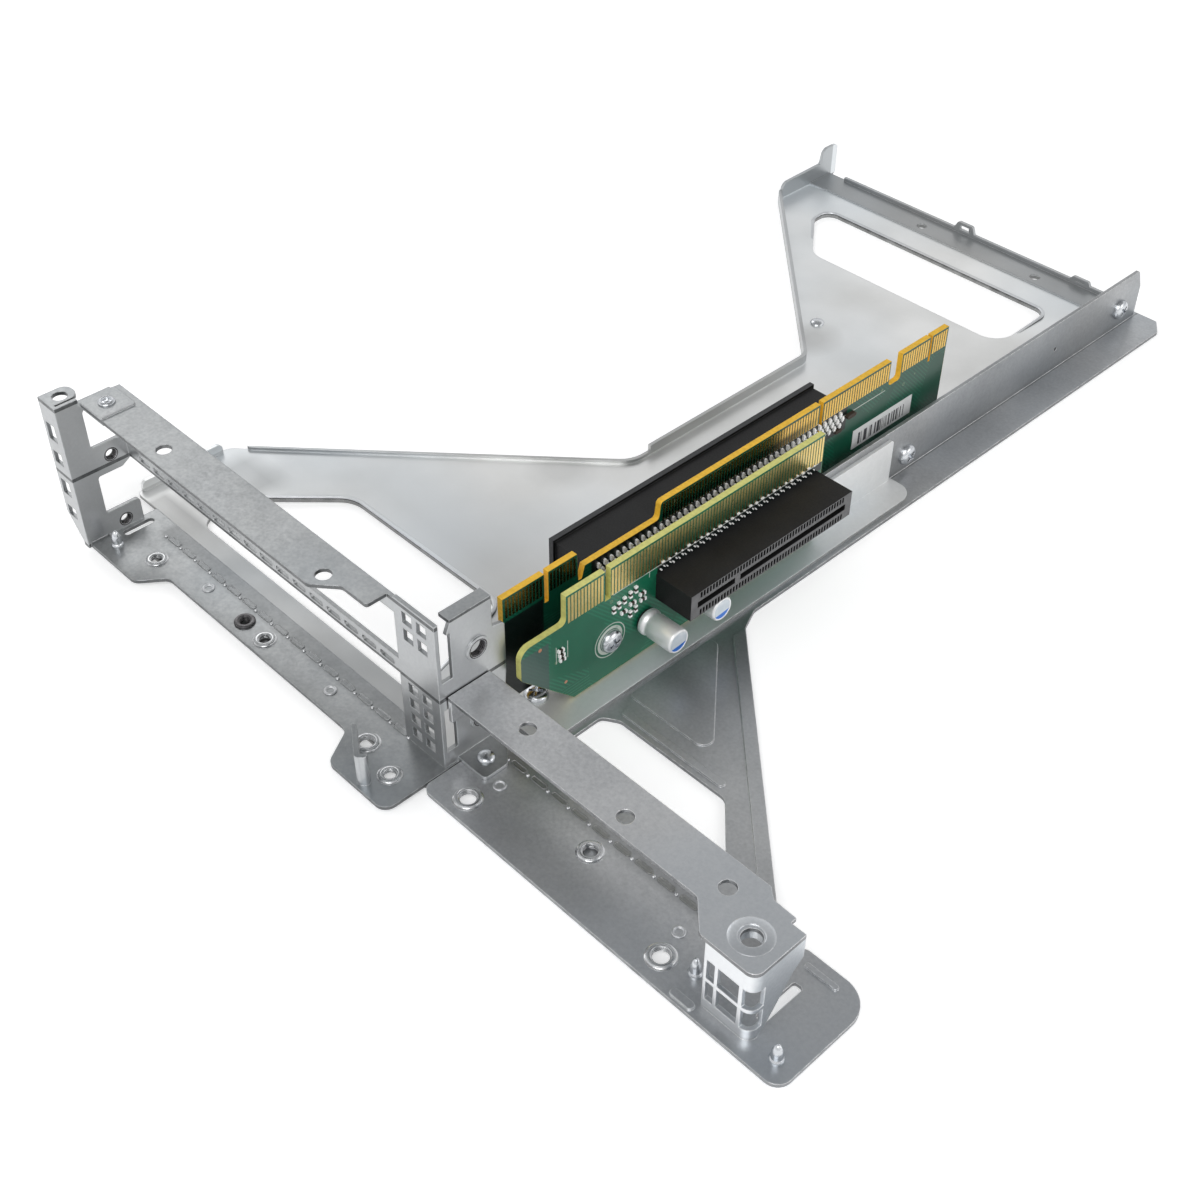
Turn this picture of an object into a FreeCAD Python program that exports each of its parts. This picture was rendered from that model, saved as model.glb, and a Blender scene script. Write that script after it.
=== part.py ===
"""Riser cage bracket: two bracket windows, a handled base panel, a rail and two slot boards.

The frame has its origin on the underside of the base panel, where the riser wall crosses the left
bracket window. X runs along the windows to the right, Y runs back to the handle and Z is up.
"""

import FreeCAD, Part
import math
import os
import Sketcher

doc = FreeCAD.newDocument("RiserCage")


# Sizes, in millimetres. Each one is named once; the rest of the model follows them.
SIZES = [
    # Sheets and slots
    ("base_sheet", 1.0), ("frame_sheet", 1.0), ("slot_pitch", 20.32), ("strip_margin", 0.66),
    ("sheet_gap", 0.3), ("emboss_rise", 0.5),
    # Left bracket window
    ("left_span", 120.0), ("ledge_deep", 15.3), ("ledge_deep_length", 19.5), ("ledge_shallow", 8.4),
    ("ledge_lobe", 17.3), ("lobe_length", 19.0), ("ledge_slope", 5.2), ("ledge_back", 4.5),
    ("left_strip_depth", 10.1), ("left_strip_end", 15.2), ("strip_step", 4.8), ("strip_start", 1.2),
    ("back_lip", 4.0), ("post_width", 7.5), ("post_front", 16.0), ("post_side_depth", 6.7),
    ("arm_height", 2.4), ("tab_length", 10.0), ("upper_tab_height", 8.6), ("lower_tab_height", 6.6),
    ("tab_hole_r", 1.55), ("tab_hole_y", 4.6), ("tab_hole_height", 22.6), ("top_tab_depth", 7.8),
    ("top_tab_hole_r", 1.9), ("vent_width", 4.0), ("strip_patch", 9.6),
    ("bar_height", 4.2), ("bar_slot_length", 4.9), ("bar_slot_height", 1.5), ("contact_pitch", 6.35),
    # Middle post
    ("mid_post_width", 13.2), ("mid_side_depth", 18.6), ("mid_top_tab", 3.4), ("grille_hole", 3.2),
    ("grille_web", 1.4), ("slit_depth", 3.0), ("slit_height", 12.6), ("mid_hole_y", 10.8),
    ("mid_hole_r", 2.1), ("foot_length", 9.0), ("foot_start", 3.7), ("foot_width", 9.6),
    # Right bracket window
    ("window_setback", 12.7), ("right_strip_front", 2.0), ("right_strip_end", 80.6),
    ("box_front", 4.0), ("box_start", 80.3), ("box_width", 12.2), ("box_depth", 14.0),
    ("right_ledge_front", 7.3), ("right_ledge_length", 103.0), ("right_ledge_back", 20.6),
    ("big_hole_r", 2.2), ("box_corner", 2.4), ("keeper_rise", 9.0), ("keeper_hole_r", 1.9),
    # Base panel
    ("panel_left", 131.4), ("panel_front_edge", 5.0), ("wing_back", 33.4), ("waist_left", 51.2),
    ("waist_start", 108.3), ("waist_end", 178.5), ("flare_left", 121.5), ("flare_end", 247.0),
    ("panel_back", 272.8), ("rim_rise", 3.0), ("ear_rise", 10.6), ("back_hem", 1.2), ("back_band", 9.8),
    ("wing_hem", 1.0), ("catch_rise", 4.2), ("catch_width", 9.6), ("catch_pitch", 44.0),
    ("inner_flange_start", 98.0), ("inner_flange_rise", 12.0),
    ("handle_front", 227.6), ("handle_back", 252.0), ("handle_left", 103.6), ("handle_right", 17.8),
    ("opening_front", 10.0), ("opening_back", 44.2), ("opening_left", 109.6), ("opening_right", 37.0),
    # Rail
    ("rail_wall_rise", 17.2), ("rail_width", 11.3), ("rail_end", 270.3), ("rail_wall_start", 40.0),
    ("wing_reach", 71.5), ("wing_front", 3.0), ("wing_back_end", 88.0), ("wing_band", 3.0),
    # Carrier bracket
    ("carrier_width", 10.0), ("carrier_end", 152.0), ("carrier_front", 20.0), ("carrier_rise", 15.0),
    # Boards
    ("board_thickness", 1.6), ("long_board_gap", 2.7), ("short_board_gap", 0.3),
    ("long_board_start", 21.3), ("long_board_end", 177.0), ("long_board_top", 35.6),
    ("long_board_bottom", 5.0), ("key_width", 1.2), ("key_depth", 8.3), ("key_start", 33.4),
    ("middle_key", 125.4), ("label_start", 140.3), ("label_length", 24.2), ("label_height", 5.9),
    ("short_board_start", 32.7), ("short_board_end", 118.4), ("short_board_top", 34.4),
    ("short_board_bottom", 2.6), ("short_step", 26.5), ("short_left", 19.4),
    ("finger_height", 6.4), ("finger_thickness", 0.05), ("finger_edge", 0.7),
    # Slots
    ("long_slot_start", 47.1), ("long_slot_length", 89.0), ("short_slot_start", 60.7),
    ("short_slot_length", 56.0), ("slot_body_width", 7.2), ("slot_body_depth", 11.1), ("slot_lip", 0.7),
    ("card_slit", 1.7), ("card_depth", 8.0), ("long_slot_height", 26.4), ("short_slot_height", 20.5),
    ("contact_width", 0.6), ("contact_depth", 0.7), ("contact_slot_height", 1.6), ("cell_pitch", 1.0),
    # Fasteners and small parts
    ("can_r", 3.2), ("can_height", 10.0), ("can_base", 1.0), ("can_y", 57.5), ("can_height_up", 12.5),
    ("can_pitch", 14.4), ("can_lift", 1.0),
    ("screw_head_r", 3.0), ("screw_head_height", 1.9), ("screw_shank_r", 1.45),
    ("rivet_head_r", 2.1), ("rivet_shank_r", 1.3), ("pin_r", 1.6), ("pin_height", 4.6),
    ("clinch_head_r", 1.6), ("clinch_rise", 0.5), ("hole_clearance", 0.1), ("insert_flange", 0.7),
]

sheet = doc.addObject("Spreadsheet::Sheet", "Sizes")
for row, (alias, value) in enumerate(SIZES, start=1):
    sheet.set("A%d" % row, alias)
    sheet.set("B%d" % row, "%g" % value)
    sheet.setAlias("B%d" % row, alias)
doc.recompute()


class Size:
    """A length together with the sheet formula that gives it."""

    def __init__(self, value, formula):
        self.value = float(value)
        self.formula = formula

    def _join(self, other, sign, value):
        formula = other.formula if isinstance(other, Size) else "%.6g" % other
        return Size(value, "(%s %s %s)" % (self.formula, sign, formula))

    def __add__(self, other):
        return self._join(other, "+", self.value + number(other))

    def __sub__(self, other):
        return self._join(other, "-", self.value - number(other))

    def __mul__(self, other):
        return self._join(other, "*", self.value * number(other))

    def __truediv__(self, other):
        return self._join(other, "/", self.value / number(other))

    def __radd__(self, other):
        return self + other

    def __rsub__(self, other):
        return (self * -1.0) + other

    def __rmul__(self, other):
        return self * other

    def __neg__(self):
        return self * -1.0


def number(item):
    """The plain number of a size or of a number."""
    return item.value if isinstance(item, Size) else float(item)


def size(alias):
    """The named size from the sheet."""
    return Size(sheet.get(alias), "Sizes.%s" % alias)


def bind(item, prop, value):
    """Set a property to a size, tied to the sheet where the size comes from it."""
    if isinstance(value, Size):
        item.setExpression(prop, value.formula)
    else:
        item.setExpression(prop, "%.6g" % value)


class Drawing:
    """The lines and dimensions of a sketch, gathered first and then added in one step."""

    def __init__(self):
        self.shapes = []
        self.rules = []
        self.formulas = []

    def shape(self, geometry, construction=False):
        """Add one piece of geometry and give back its index."""
        self.shapes.append((geometry, construction))
        return len(self.shapes) - 1

    def rule(self, *parts):
        """Add one constraint between the pieces of geometry."""
        self.rules.append(Sketcher.Constraint(*parts))

    def dimension(self, name, value, *parts):
        """Add one named dimension, tied to the sheet where it comes from there."""
        item = Sketcher.Constraint(*parts, number(value))
        item.Name = name
        self.rules.append(item)
        if isinstance(value, Size):
            self.formulas.append((name, value.formula))

    def outline(self, points, tag):
        """Draw a closed outline; each point is (u, v) or (u, v, corner radius)."""
        count = len(points)
        spots = [FreeCAD.Vector(number(p[0]), number(p[1]), 0) for p in points]
        radii = [number(p[2]) if len(p) > 2 else 0.0 for p in points]
        enter, leave, arcs, lines, pieces = [], [], {}, {}, []
        for i in range(count):
            here = spots[i]
            if radii[i] <= 0:
                enter.append(here)
                leave.append(here)
                continue
            before = (spots[i - 1] - here).normalize()
            after = (spots[(i + 1) % count] - here).normalize()
            angle = before.getAngle(after)
            reach = radii[i] / math.tan(angle / 2)
            enter.append(here + before * reach)
            leave.append(here + after * reach)
            centre = here + (before + after).normalize() * (radii[i] / math.sin(angle / 2))
            left_turn = before.x * after.y - before.y * after.x < 0
            first, last = (enter[i], leave[i]) if left_turn else (leave[i], enter[i])
            angle_1 = math.atan2(first.y - centre.y, first.x - centre.x)
            angle_2 = math.atan2(last.y - centre.y, last.x - centre.x)
            circle = Part.Circle(centre, FreeCAD.Vector(0, 0, 1), radii[i])
            arcs[i] = (Part.ArcOfCircle(circle, angle_1, angle_2), left_turn)
        for i in range(count):
            if i in arcs:
                arc, left_turn = arcs[i]
                index = self.shape(arc)
                arcs[i] = index
                pieces.append(("arc", index, 1 if left_turn else 2, 2 if left_turn else 1))
            lines[i] = self.shape(Part.LineSegment(leave[i], enter[(i + 1) % count]))
            pieces.append(("line", lines[i], 1, 2))
        for i, piece in enumerate(pieces):
            other = pieces[(i + 1) % len(pieces)]
            kind = "Coincident" if piece[0] == other[0] else "Tangent"
            self.rule(kind, piece[1], piece[3], other[1], other[2])
        for i in range(count):
            anchor = lines[i]
            if i in arcs:
                anchor = self.shape(Part.Point(spots[i]), True)
                self.rule("PointOnObject", anchor, 1, lines[i])
                self.rule("PointOnObject", anchor, 1, lines[(i - 1) % count])
                self.dimension("%s_r%d" % (tag, i), points[i][2], "Radius", arcs[i])
            self.dimension("%s_u%d" % (tag, i), points[i][0], "DistanceX", -1, 1, anchor, 1)
            self.dimension("%s_v%d" % (tag, i), points[i][1], "DistanceY", -1, 1, anchor, 1)

    def circle(self, circle, tag):
        """Draw a circle given as (u, v, radius)."""
        u, v, radius = circle
        centre = FreeCAD.Vector(number(u), number(v), 0)
        ring = self.shape(Part.Circle(centre, FreeCAD.Vector(0, 0, 1), number(radius)))
        self.dimension(tag + "_r", radius, "Radius", ring)
        self.dimension(tag + "_u", u, "DistanceX", -1, 1, ring, 3)
        self.dimension(tag + "_v", v, "DistanceY", -1, 1, ring, 3)

    def draw(self, sketch):
        """Put everything into the sketch."""
        start = 0
        while start < len(self.shapes):
            stop = start
            while stop < len(self.shapes) and self.shapes[stop][1] == self.shapes[start][1]:
                stop += 1
            sketch.addGeometry([shape for shape, _ in self.shapes[start:stop]], self.shapes[start][1])
            start = stop
        sketch.addConstraint(self.rules)
        for name, formula in self.formulas:
            sketch.setExpression("Constraints." + name, formula)


def box_points(u0, v0, u1, v1, radius=0):
    """The four corners of a rectangle."""
    return [(u0, v0, radius), (u1, v0, radius), (u1, v1, radius), (u0, v1, radius)]


def new_body(label):
    """An empty body that becomes one piece of the product."""
    body = doc.addObject("PartDesign::Body", label)
    body.Label = label
    return body


def new_sketch(body, name, plane, level, outlines=(), circles=()):
    """A sketch on an origin plane of its body, moved to a level along that plane's axis.

    On XY the sketch reads (x, y), on XZ it reads (x, z) and on YZ it reads (y, z).
    """
    sketch = body.newObject("Sketcher::SketchObject", name)
    origin_plane = [f for f in body.Origin.OriginFeatures if f.Role == plane + "_Plane"][0]
    sketch.AttachmentSupport = [(origin_plane, "")]
    sketch.MapMode = "FlatFace"
    bind(sketch, "AttachmentOffset.Base.z", -level if plane == "XZ" else level)
    drawing = Drawing()
    for k, outline in enumerate(outlines):
        if outline:
            drawing.outline(outline, "p%d" % k)
    for k, circle in enumerate(circles):
        drawing.circle(circle, "c%d" % k)
    drawing.draw(sketch)
    return sketch


def panel(body, name, plane, level, thickness, outline, holes=(), circles=()):
    """A flat wall of sheet from a level towards the plus side of its axis."""
    sketch = new_sketch(body, name + "_sketch", plane, level, [outline] + list(holes), circles)
    pad = body.newObject("PartDesign::Pad", name)
    pad.Profile = sketch
    pad.Reversed = plane == "XZ"
    pad.Refine = False
    bind(pad, "Length", thickness)
    return pad


def cut(body, name, plane, level, depth, outlines=(), circles=()):
    """A pocket from a level towards the plus side of its axis."""
    sketch = new_sketch(body, name + "_sketch", plane, level, outlines, circles)
    pocket = body.newObject("PartDesign::Pocket", name)
    pocket.Profile = sketch
    pocket.Reversed = plane != "XZ"
    pocket.Refine = False
    bind(pocket, "Length", depth)
    return pocket


def repeat(body, name, feature, axis, length, count):
    """A row of copies of a feature along a sketch axis; the body ends on it."""
    pattern = body.newObject("PartDesign::LinearPattern", name)
    pattern.Originals = [feature]
    pattern.Direction = (feature.Profile[0], [axis])
    bind(pattern, "Length", length)
    pattern.Occurrences = count
    pattern.Refine = False
    body.Tip = pattern
    return pattern


def collars(body, name, plane, level, height, holes, wall):
    """Short raised rims round formed holes; each hole is (u, v, radius)."""
    rings = [(u, v, radius + wall) for u, v, radius in holes] + list(holes)
    return panel(body, name, plane, level, height, [], (), rings)


def solids_group(label, builders):
    """Several like pieces in one compound: a Part compound of Part objects."""
    group = doc.addObject("Part::Compound", label)
    group.Label = label
    group.Links = builders
    return group


def cylinder(name, base, axis, radius, height):
    """A Part cylinder from its base point along X, Y or Z."""
    item = doc.addObject("Part::Cylinder", name)
    bind(item, "Radius", radius)
    bind(item, "Height", height)
    turn = {"X": FreeCAD.Rotation(FreeCAD.Vector(0, 1, 0), 90), "Z": FreeCAD.Rotation(),
            "-X": FreeCAD.Rotation(FreeCAD.Vector(0, 1, 0), -90),
            "Y": FreeCAD.Rotation(FreeCAD.Vector(1, 0, 0), -90),
            "-Y": FreeCAD.Rotation(FreeCAD.Vector(1, 0, 0), 90)}[axis]
    item.Placement = FreeCAD.Placement(FreeCAD.Vector(), turn)
    for letter, value in zip("xyz", base):
        bind(item, "Placement.Base." + letter, value)
    return item


def block(name, low, lengths):
    """A Part box from its low corner."""
    item = doc.addObject("Part::Box", name)
    for prop, value in zip(("Length", "Width", "Height"), lengths):
        bind(item, prop, value)
    for letter, value in zip("xyz", low):
        bind(item, "Placement.Base." + letter, value)
    return item


def fused(name, items):
    """One solid from several Part objects."""
    item = doc.addObject("Part::MultiFuse", name)
    item.Shapes = items
    return item


def finished(body):
    """Merge the flush faces of a body's last feature and give the body back."""
    body.Tip.Refine = True
    return body


pieces = []

# Levels that several pieces share
base = size("base_sheet")
frame = size("frame_sheet")
ledge_top = base + frame
pitch = size("slot_pitch")
left_top = ledge_top + pitch * 2 + size("strip_margin")
right_top = ledge_top + pitch + size("strip_margin") / 2
post_x = -size("left_span")
gap = size("sheet_gap")
setback = size("window_setback")


clinches_left = [(post_x + 34.5, -3.5), (post_x + 83.5, -3.5)]
clinches_right = [(12.0, 5.3), (65.6, 5.3)]
strip_rivet_spot = (post_x + 6.3, -5.5)
insert_spot = (post_x + 50.7, -4.1)
stud_spot = (-62.1, 197.5)
foot_spot = (size("foot_length") / 2, size("foot_start") + 4.3)
panel_screw_spot = (-2.8, 29.3)
screw_hole_r = size("screw_shank_r") + size("hole_clearance")
wall_screws = [(158.8, 6.1), (260.0, 7.5)]
board_screw_spot = (46.2, 13.1)
long_board_screws = [(60.0, 12.0), (150.0, 9.0)]

# Left bracket window: ledge, end post, top strip, divider bar and middle post from one sheet
left = new_body("left_io_frame")
ledge_r = 3.0
deep_end = post_x + size("ledge_deep_length")
lobe_x = -size("lobe_length")
left_ledge_holes = [(post_x + 16.6, -6.7, 1.6), (post_x + 59.2, -4.4, 1.6),
                    (lobe_x + 1.2, -7.6, 1.9), (lobe_x + 12.2, -9.9, 1.6)]
panel(left, "left_ledge", "XY", base, frame, [
    (post_x - frame, -size("ledge_deep"), 1.5), (deep_end, -size("ledge_deep"), ledge_r),
    (deep_end + size("ledge_slope"), -size("ledge_shallow"), ledge_r),
    (lobe_x - size("ledge_slope"), -size("ledge_shallow"), ledge_r),
    (lobe_x, -size("ledge_lobe"), ledge_r), (gap + 0.2, -size("ledge_lobe"), ledge_r),
    (gap + 0.2, size("ledge_back")), (post_x - frame, size("ledge_back"))],
    [box_points(post_x + 1.1, -7.1, post_x + 3.3, 1.6, 1.0)],
    left_ledge_holes + [insert_spot + (1.9,)])
# End post: side wall with two screw tabs, narrow front wall and top tab
side_front = -size("post_front")
side_back = side_front + size("post_side_depth")
hole_z = ledge_top + size("tab_hole_height")
tab_y = side_back + size("tab_length")
panel(left, "end_side", "YZ", post_x - frame, frame, [
    (side_front, ledge_top + 0.5), (side_front, left_top), (side_back - 0.5, left_top),
    (side_back - 0.5, left_top - frame), (-0.7, left_top - frame),
    (-0.7, left_top - frame - size("arm_height")),
    (side_back, left_top - frame - size("arm_height"), 1.0),
    (side_back, hole_z + size("upper_tab_height") / 2 - 0.4, 0.8),
    (tab_y - 1.6, hole_z + size("upper_tab_height") / 2 - 0.4, 1.0),
    (frame, hole_z + 1.6), (frame, hole_z - 2.6),
    (tab_y - 3.0, hole_z - size("upper_tab_height") / 2 - 0.4, 1.0),
    (side_back, hole_z - size("upper_tab_height") / 2 - 0.4, 0.8),
    (side_back, ledge_top + size("lower_tab_height"), 0.8),
    (tab_y - 0.5, ledge_top + size("lower_tab_height"), 1.0), (tab_y - 0.5, base),
    (side_back - 0.7, base), (side_back - 0.7, ledge_top + 0.5)],
    (), [(-size("tab_hole_y"), hole_z - pitch * k, size("tab_hole_r")) for k in range(2)])
collars(left, "end_collars", "YZ", post_x - frame - 1.2, 1.2,
        [(-size("tab_hole_y"), hole_z - pitch * k, size("tab_hole_r")) for k in range(2)], 0.9)
vent_left = post_x - size("post_width") + 1.0
vents = []
for low, high in ((6.6, 9.8), (13.5, 18.0), (23.0, 26.6), (30.0, 35.0)):
    vents.append(box_points(vent_left, ledge_top + low, vent_left + size("vent_width"), ledge_top + high))
panel(left, "end_front", "XZ", side_front, frame, [
    (post_x - 2.0, ledge_top), (post_x, ledge_top), (post_x, left_top),
    (post_x - size("post_width"), left_top), (post_x - size("post_width"), ledge_top + 7.0, 1.0)], vents)
panel(left, "end_foot", "XY", base, frame, box_points(
    post_x - 2.0, side_front, post_x, -size("ledge_deep") + 1.0))
panel(left, "end_top_tab", "XY", left_top - frame, frame, [
    (post_x - size("post_width"), side_front), (post_x - frame - 0.6, side_front),
    (post_x - frame - 0.6, side_front + size("top_tab_depth"), 2.5),
    (post_x - size("post_width"), side_front + size("top_tab_depth"), 2.5)],
    (), [(post_x - 4.2, side_front + 4.0, size("top_tab_hole_r"))])
# Top strip with its back lip and the tab below its left end
strip_left = post_x + size("strip_start")
rivet_hole = strip_rivet_spot + (size("rivet_shank_r"),)
panel(left, "end_arm", "XY", left_top - frame * 2, frame, box_points(
    post_x - frame, side_back - 0.4, post_x + 11.0, -0.7), (), [rivet_hole])
panel(left, "left_strip", "XY", left_top - frame, frame, [
    (strip_left, -size("left_strip_depth"), 0.8), (-28.8, -size("left_strip_depth"), 2.0),
    (-size("left_strip_end") - 8.0, -size("left_strip_depth") + size("strip_step"), 2.0),
    (-size("left_strip_end"), -size("left_strip_depth") + size("strip_step"), 0.8),
    (-size("left_strip_end"), frame), (strip_left, frame)],
    (), [(post_x + 31.0, -5.8, 1.9), (post_x + 91.1, -5.8, 1.9), rivet_hole])
patch = size("strip_patch")
panel(left, "strip_patch", "XY", left_top, size("emboss_rise"), box_points(
    strip_left + 0.5, frame - 1.6 - patch, strip_left + 0.5 + patch, frame - 1.6, 0.8), (), [rivet_hole])
panel(left, "left_strip_lip", "XZ", 0.0, frame, box_points(
    strip_left, left_top - size("back_lip"), -size("mid_post_width"), left_top))
# Divider bar between the two slots, with a row of grounding slots
bar_low = ledge_top + pitch - 0.5
panel(left, "divider_bar", "XZ", 0.0, frame, box_points(
    post_x - frame, bar_low, -size("mid_post_width"), bar_low + size("bar_height")))
# Middle post: grille front, side wall with two formed holes, top tab and riveted foot
grille = []
web = size("grille_web")
cell = size("grille_hole")
for column in range(2):
    u = -size("mid_post_width") + 2.6 + (cell + web) * column
    for level in (36.2, 31.4):
        grille.append(box_points(u, ledge_top + level, u + cell, ledge_top + level + cell))
    for level in (16.0, 11.6, 7.0, 2.6):
        grille.append(box_points(u, ledge_top + level, u + cell, ledge_top + level + cell * 0.85))
panel(left, "middle_front", "XZ", 0.0, frame, box_points(
    -size("mid_post_width"), base, 0.0, left_top + 0.4))
mid_top = left_top - 1.2
panel(left, "middle_side", "YZ", -frame, frame, [
    (0.0, base), (size("foot_start"), base), (size("foot_start"), ledge_top),
    (size("foot_start") + size("foot_width"), ledge_top),
    (size("mid_side_depth") - 1.0, ledge_top + 6.0),
    (size("mid_side_depth"), ledge_top + 19.0), (size("mid_side_depth"), ledge_top + 31.6, 1.0),
    (size("mid_side_depth") - 3.4, ledge_top + 32.4), (size("mid_side_depth") - 3.4, mid_top),
    (4.0, mid_top), (2.6, mid_top - 3.4), (0.0, mid_top - 3.4)],
    (), [(size("mid_hole_y"), ledge_top + 29.2, size("mid_hole_r")),
         (size("mid_hole_y"), ledge_top + 29.2 - pitch, size("mid_hole_r"))])
collars(left, "middle_collars", "YZ", 0.0, 0.5,
        [(size("mid_hole_y"), ledge_top + 29.2 - pitch * k, size("mid_hole_r")) for k in range(2)], 0.9)
panel(left, "middle_top_tab", "XY", mid_top, frame, box_points(
    -size("mid_top_tab"), 4.0, 0.0, size("mid_side_depth") - 3.4))
cut(left, "tongue_slits", "YZ", -frame * 2, frame * 2, [
    box_points(frame, ledge_top + 25.0, frame + size("slit_depth"), ledge_top + 25.0 + size("slit_height")),
    box_points(frame, ledge_top + 4.4, frame + size("slit_depth"), ledge_top + 4.4 + size("slit_height"))])
panel(left, "middle_foot", "XY", ledge_top, frame, [
    (-frame, size("foot_start")), (size("foot_length"), size("foot_start"), 1.2),
    (size("foot_length"), size("foot_start") + size("foot_width") - 3.0, 1.2),
    (size("foot_length") - 3.5, size("foot_start") + size("foot_width"), 1.2),
    (-frame, size("foot_start") + size("foot_width"))],
    (), [foot_spot + (size("rivet_shank_r"),)])
# Upright keeper loop on the lobe
keeper_x = lobe_x + 1.4
keeper_y = -size("ledge_lobe") + 6.2
panel(left, "keeper_loop", "XY", ledge_top - 0.2, size("keeper_rise"), [
    (keeper_x, keeper_y), (keeper_x + 8.4, keeper_y - 5.8, 1.4),
    (keeper_x + 10.4, keeper_y - 3.6, 1.0), (keeper_x + 9.4, keeper_y - 2.9),
    (keeper_x + 8.2, keeper_y - 4.2), (keeper_x + 0.8, keeper_y + 0.9)])
cut(left, "keeper_hole", "XZ", keeper_y - 7.0, 9.0, (), [
    (keeper_x + 4.4, ledge_top + 5.2, size("keeper_hole_r"))])
collars(left, "left_ledge_collars", "XY", ledge_top, 0.6, left_ledge_holes, 0.8)
# Openings in the thin walls: the middle grille and the divider bar's row of slots
cut(left, "middle_grille", "XZ", -frame / 2, frame * 2, grille)
slot_u, slot_v = post_x + 5.0, bar_low + 1.2
slot_end, slot_top = slot_u + size("bar_slot_length"), slot_v + size("bar_slot_height")
corner = 0.4
bar_slot = cut(left, "divider_slot", "XZ", -frame / 2, frame * 2, [[
    (slot_u + corner, slot_v), (slot_end - corner, slot_v), (slot_end, slot_v + corner),
    (slot_end, slot_top - corner), (slot_end - corner, slot_top), (slot_u + corner, slot_top),
    (slot_u, slot_top - corner), (slot_u, slot_v + corner)]])
repeat(left, "divider_slots", bar_slot, "H_Axis", size("contact_pitch") * 15, 16)
pieces.append(finished(left))


# Right bracket window: ledge, strip, left end flange and grille box from one sheet
right = new_body("right_io_frame")
r_end = size("right_ledge_length")
right_ledge_holes = [(10.1, -2.1, 2.1), (38.7, 6.7, 1.8), (67.3, -1.5, 2.1)]
box_x = size("box_start")
box_end = box_x + size("box_width")
box_y = -size("box_front")
box_back = box_y + size("box_depth")
panel(right, "right_ledge", "XY", base, frame, [
    (gap + 0.5, -size("right_ledge_front"), 2.5), (r_end, -size("right_ledge_front"), 3.5),
    (r_end, size("right_ledge_back"), 7.0), (86.0, size("right_ledge_back"), 2.0),
    (82.0, setback + size("ledge_back")), (gap + 0.5, setback + size("ledge_back"))],
    [box_points(box_end - 3.3, box_y + 5.5, box_end - frame, box_back + 3.0, 0.8)],
    right_ledge_holes + [foot_spot + (size("rivet_shank_r"),)])
collars(right, "right_ledge_collars", "XY", ledge_top, 0.6, right_ledge_holes, 0.8)
corner_r = size("box_corner")
panel(right, "box_walls", "XY", base, right_top - base, [
    (box_x, box_y), (box_end, box_y, corner_r), (box_end, box_back), (box_end - frame, box_back),
    (box_end - frame, box_y + frame, corner_r - frame), (box_x, box_y + frame)])
cut(right, "box_side_slope", "YZ", box_end - corner_r, corner_r * 2, [[
    (box_y + corner_r, ledge_top), (box_back + 1.0, ledge_top), (box_back + 1.0, ledge_top + 15.0),
    (box_back - 2.6, ledge_top + 12.0), (box_y + 5.0, ledge_top + 2.6)]])
cut(right, "box_windows", "XZ", box_y - 0.5, corner_r * 1.6, [
    box_points(box_x + 0.7, ledge_top + 9.4, box_x + 2.7, ledge_top + 15.0),
    box_points(box_x + 0.7, ledge_top + 3.0, box_x + 2.7, ledge_top + 8.4),
    box_points(box_x + 3.5, ledge_top + 9.4, box_x + 8.7, ledge_top + 15.0),
    box_points(box_x + 3.5, ledge_top + 3.0, box_x + 8.7, ledge_top + 8.4),
    box_points(box_end - 2.6, ledge_top + 9.4, box_end + 1.0, ledge_top + 15.0),
    box_points(box_end - 2.6, ledge_top + 3.0, box_end + 1.0, ledge_top + 8.4)])
panel(right, "ledge_lance", "XY", ledge_top, size("emboss_rise"), box_points(
    box_x - 6.2, box_y - 2.6, box_x - 0.3, box_y - 0.8, 0.85))
panel(right, "ledge_rib", "XY", ledge_top, size("emboss_rise"), box_points(
    r_end - 14.9, size("right_ledge_back") - 3.7, r_end - 6.7, size("right_ledge_back") - 2.5, 0.55))
panel(right, "right_strip", "XY", right_top - frame, frame, [
    (gap, size("right_strip_front")), (72.5, size("right_strip_front"), 2.0), (78.6, box_y, 2.0),
    (box_end, box_y, corner_r), (box_end, box_back), (88.7, box_back), (88.7, setback - 1.2),
    (83.0, setback - 1.0, 0.8), (size("right_strip_end"), setback + frame, 0.8), (gap, setback + frame)],
    (), [(18.6, 8.1, 1.9), (49.4, 5.9, 1.9), (75.1, 7.6, 1.9), (86.0, 2.3, size("big_hole_r"))])
collars(right, "box_boss", "XY", right_top - frame - 2.0, 2.0, [(86.0, 2.3, size("big_hole_r"))], 1.2)
panel(right, "right_strip_lip", "XZ", setback, frame, box_points(
    gap, right_top - size("back_lip"), size("right_strip_end"), right_top))
panel(right, "right_end_flange", "YZ", gap, frame, box_points(
    size("right_strip_front"), right_top - 7.0, setback + frame, right_top))
pieces.append(finished(right))


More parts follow.
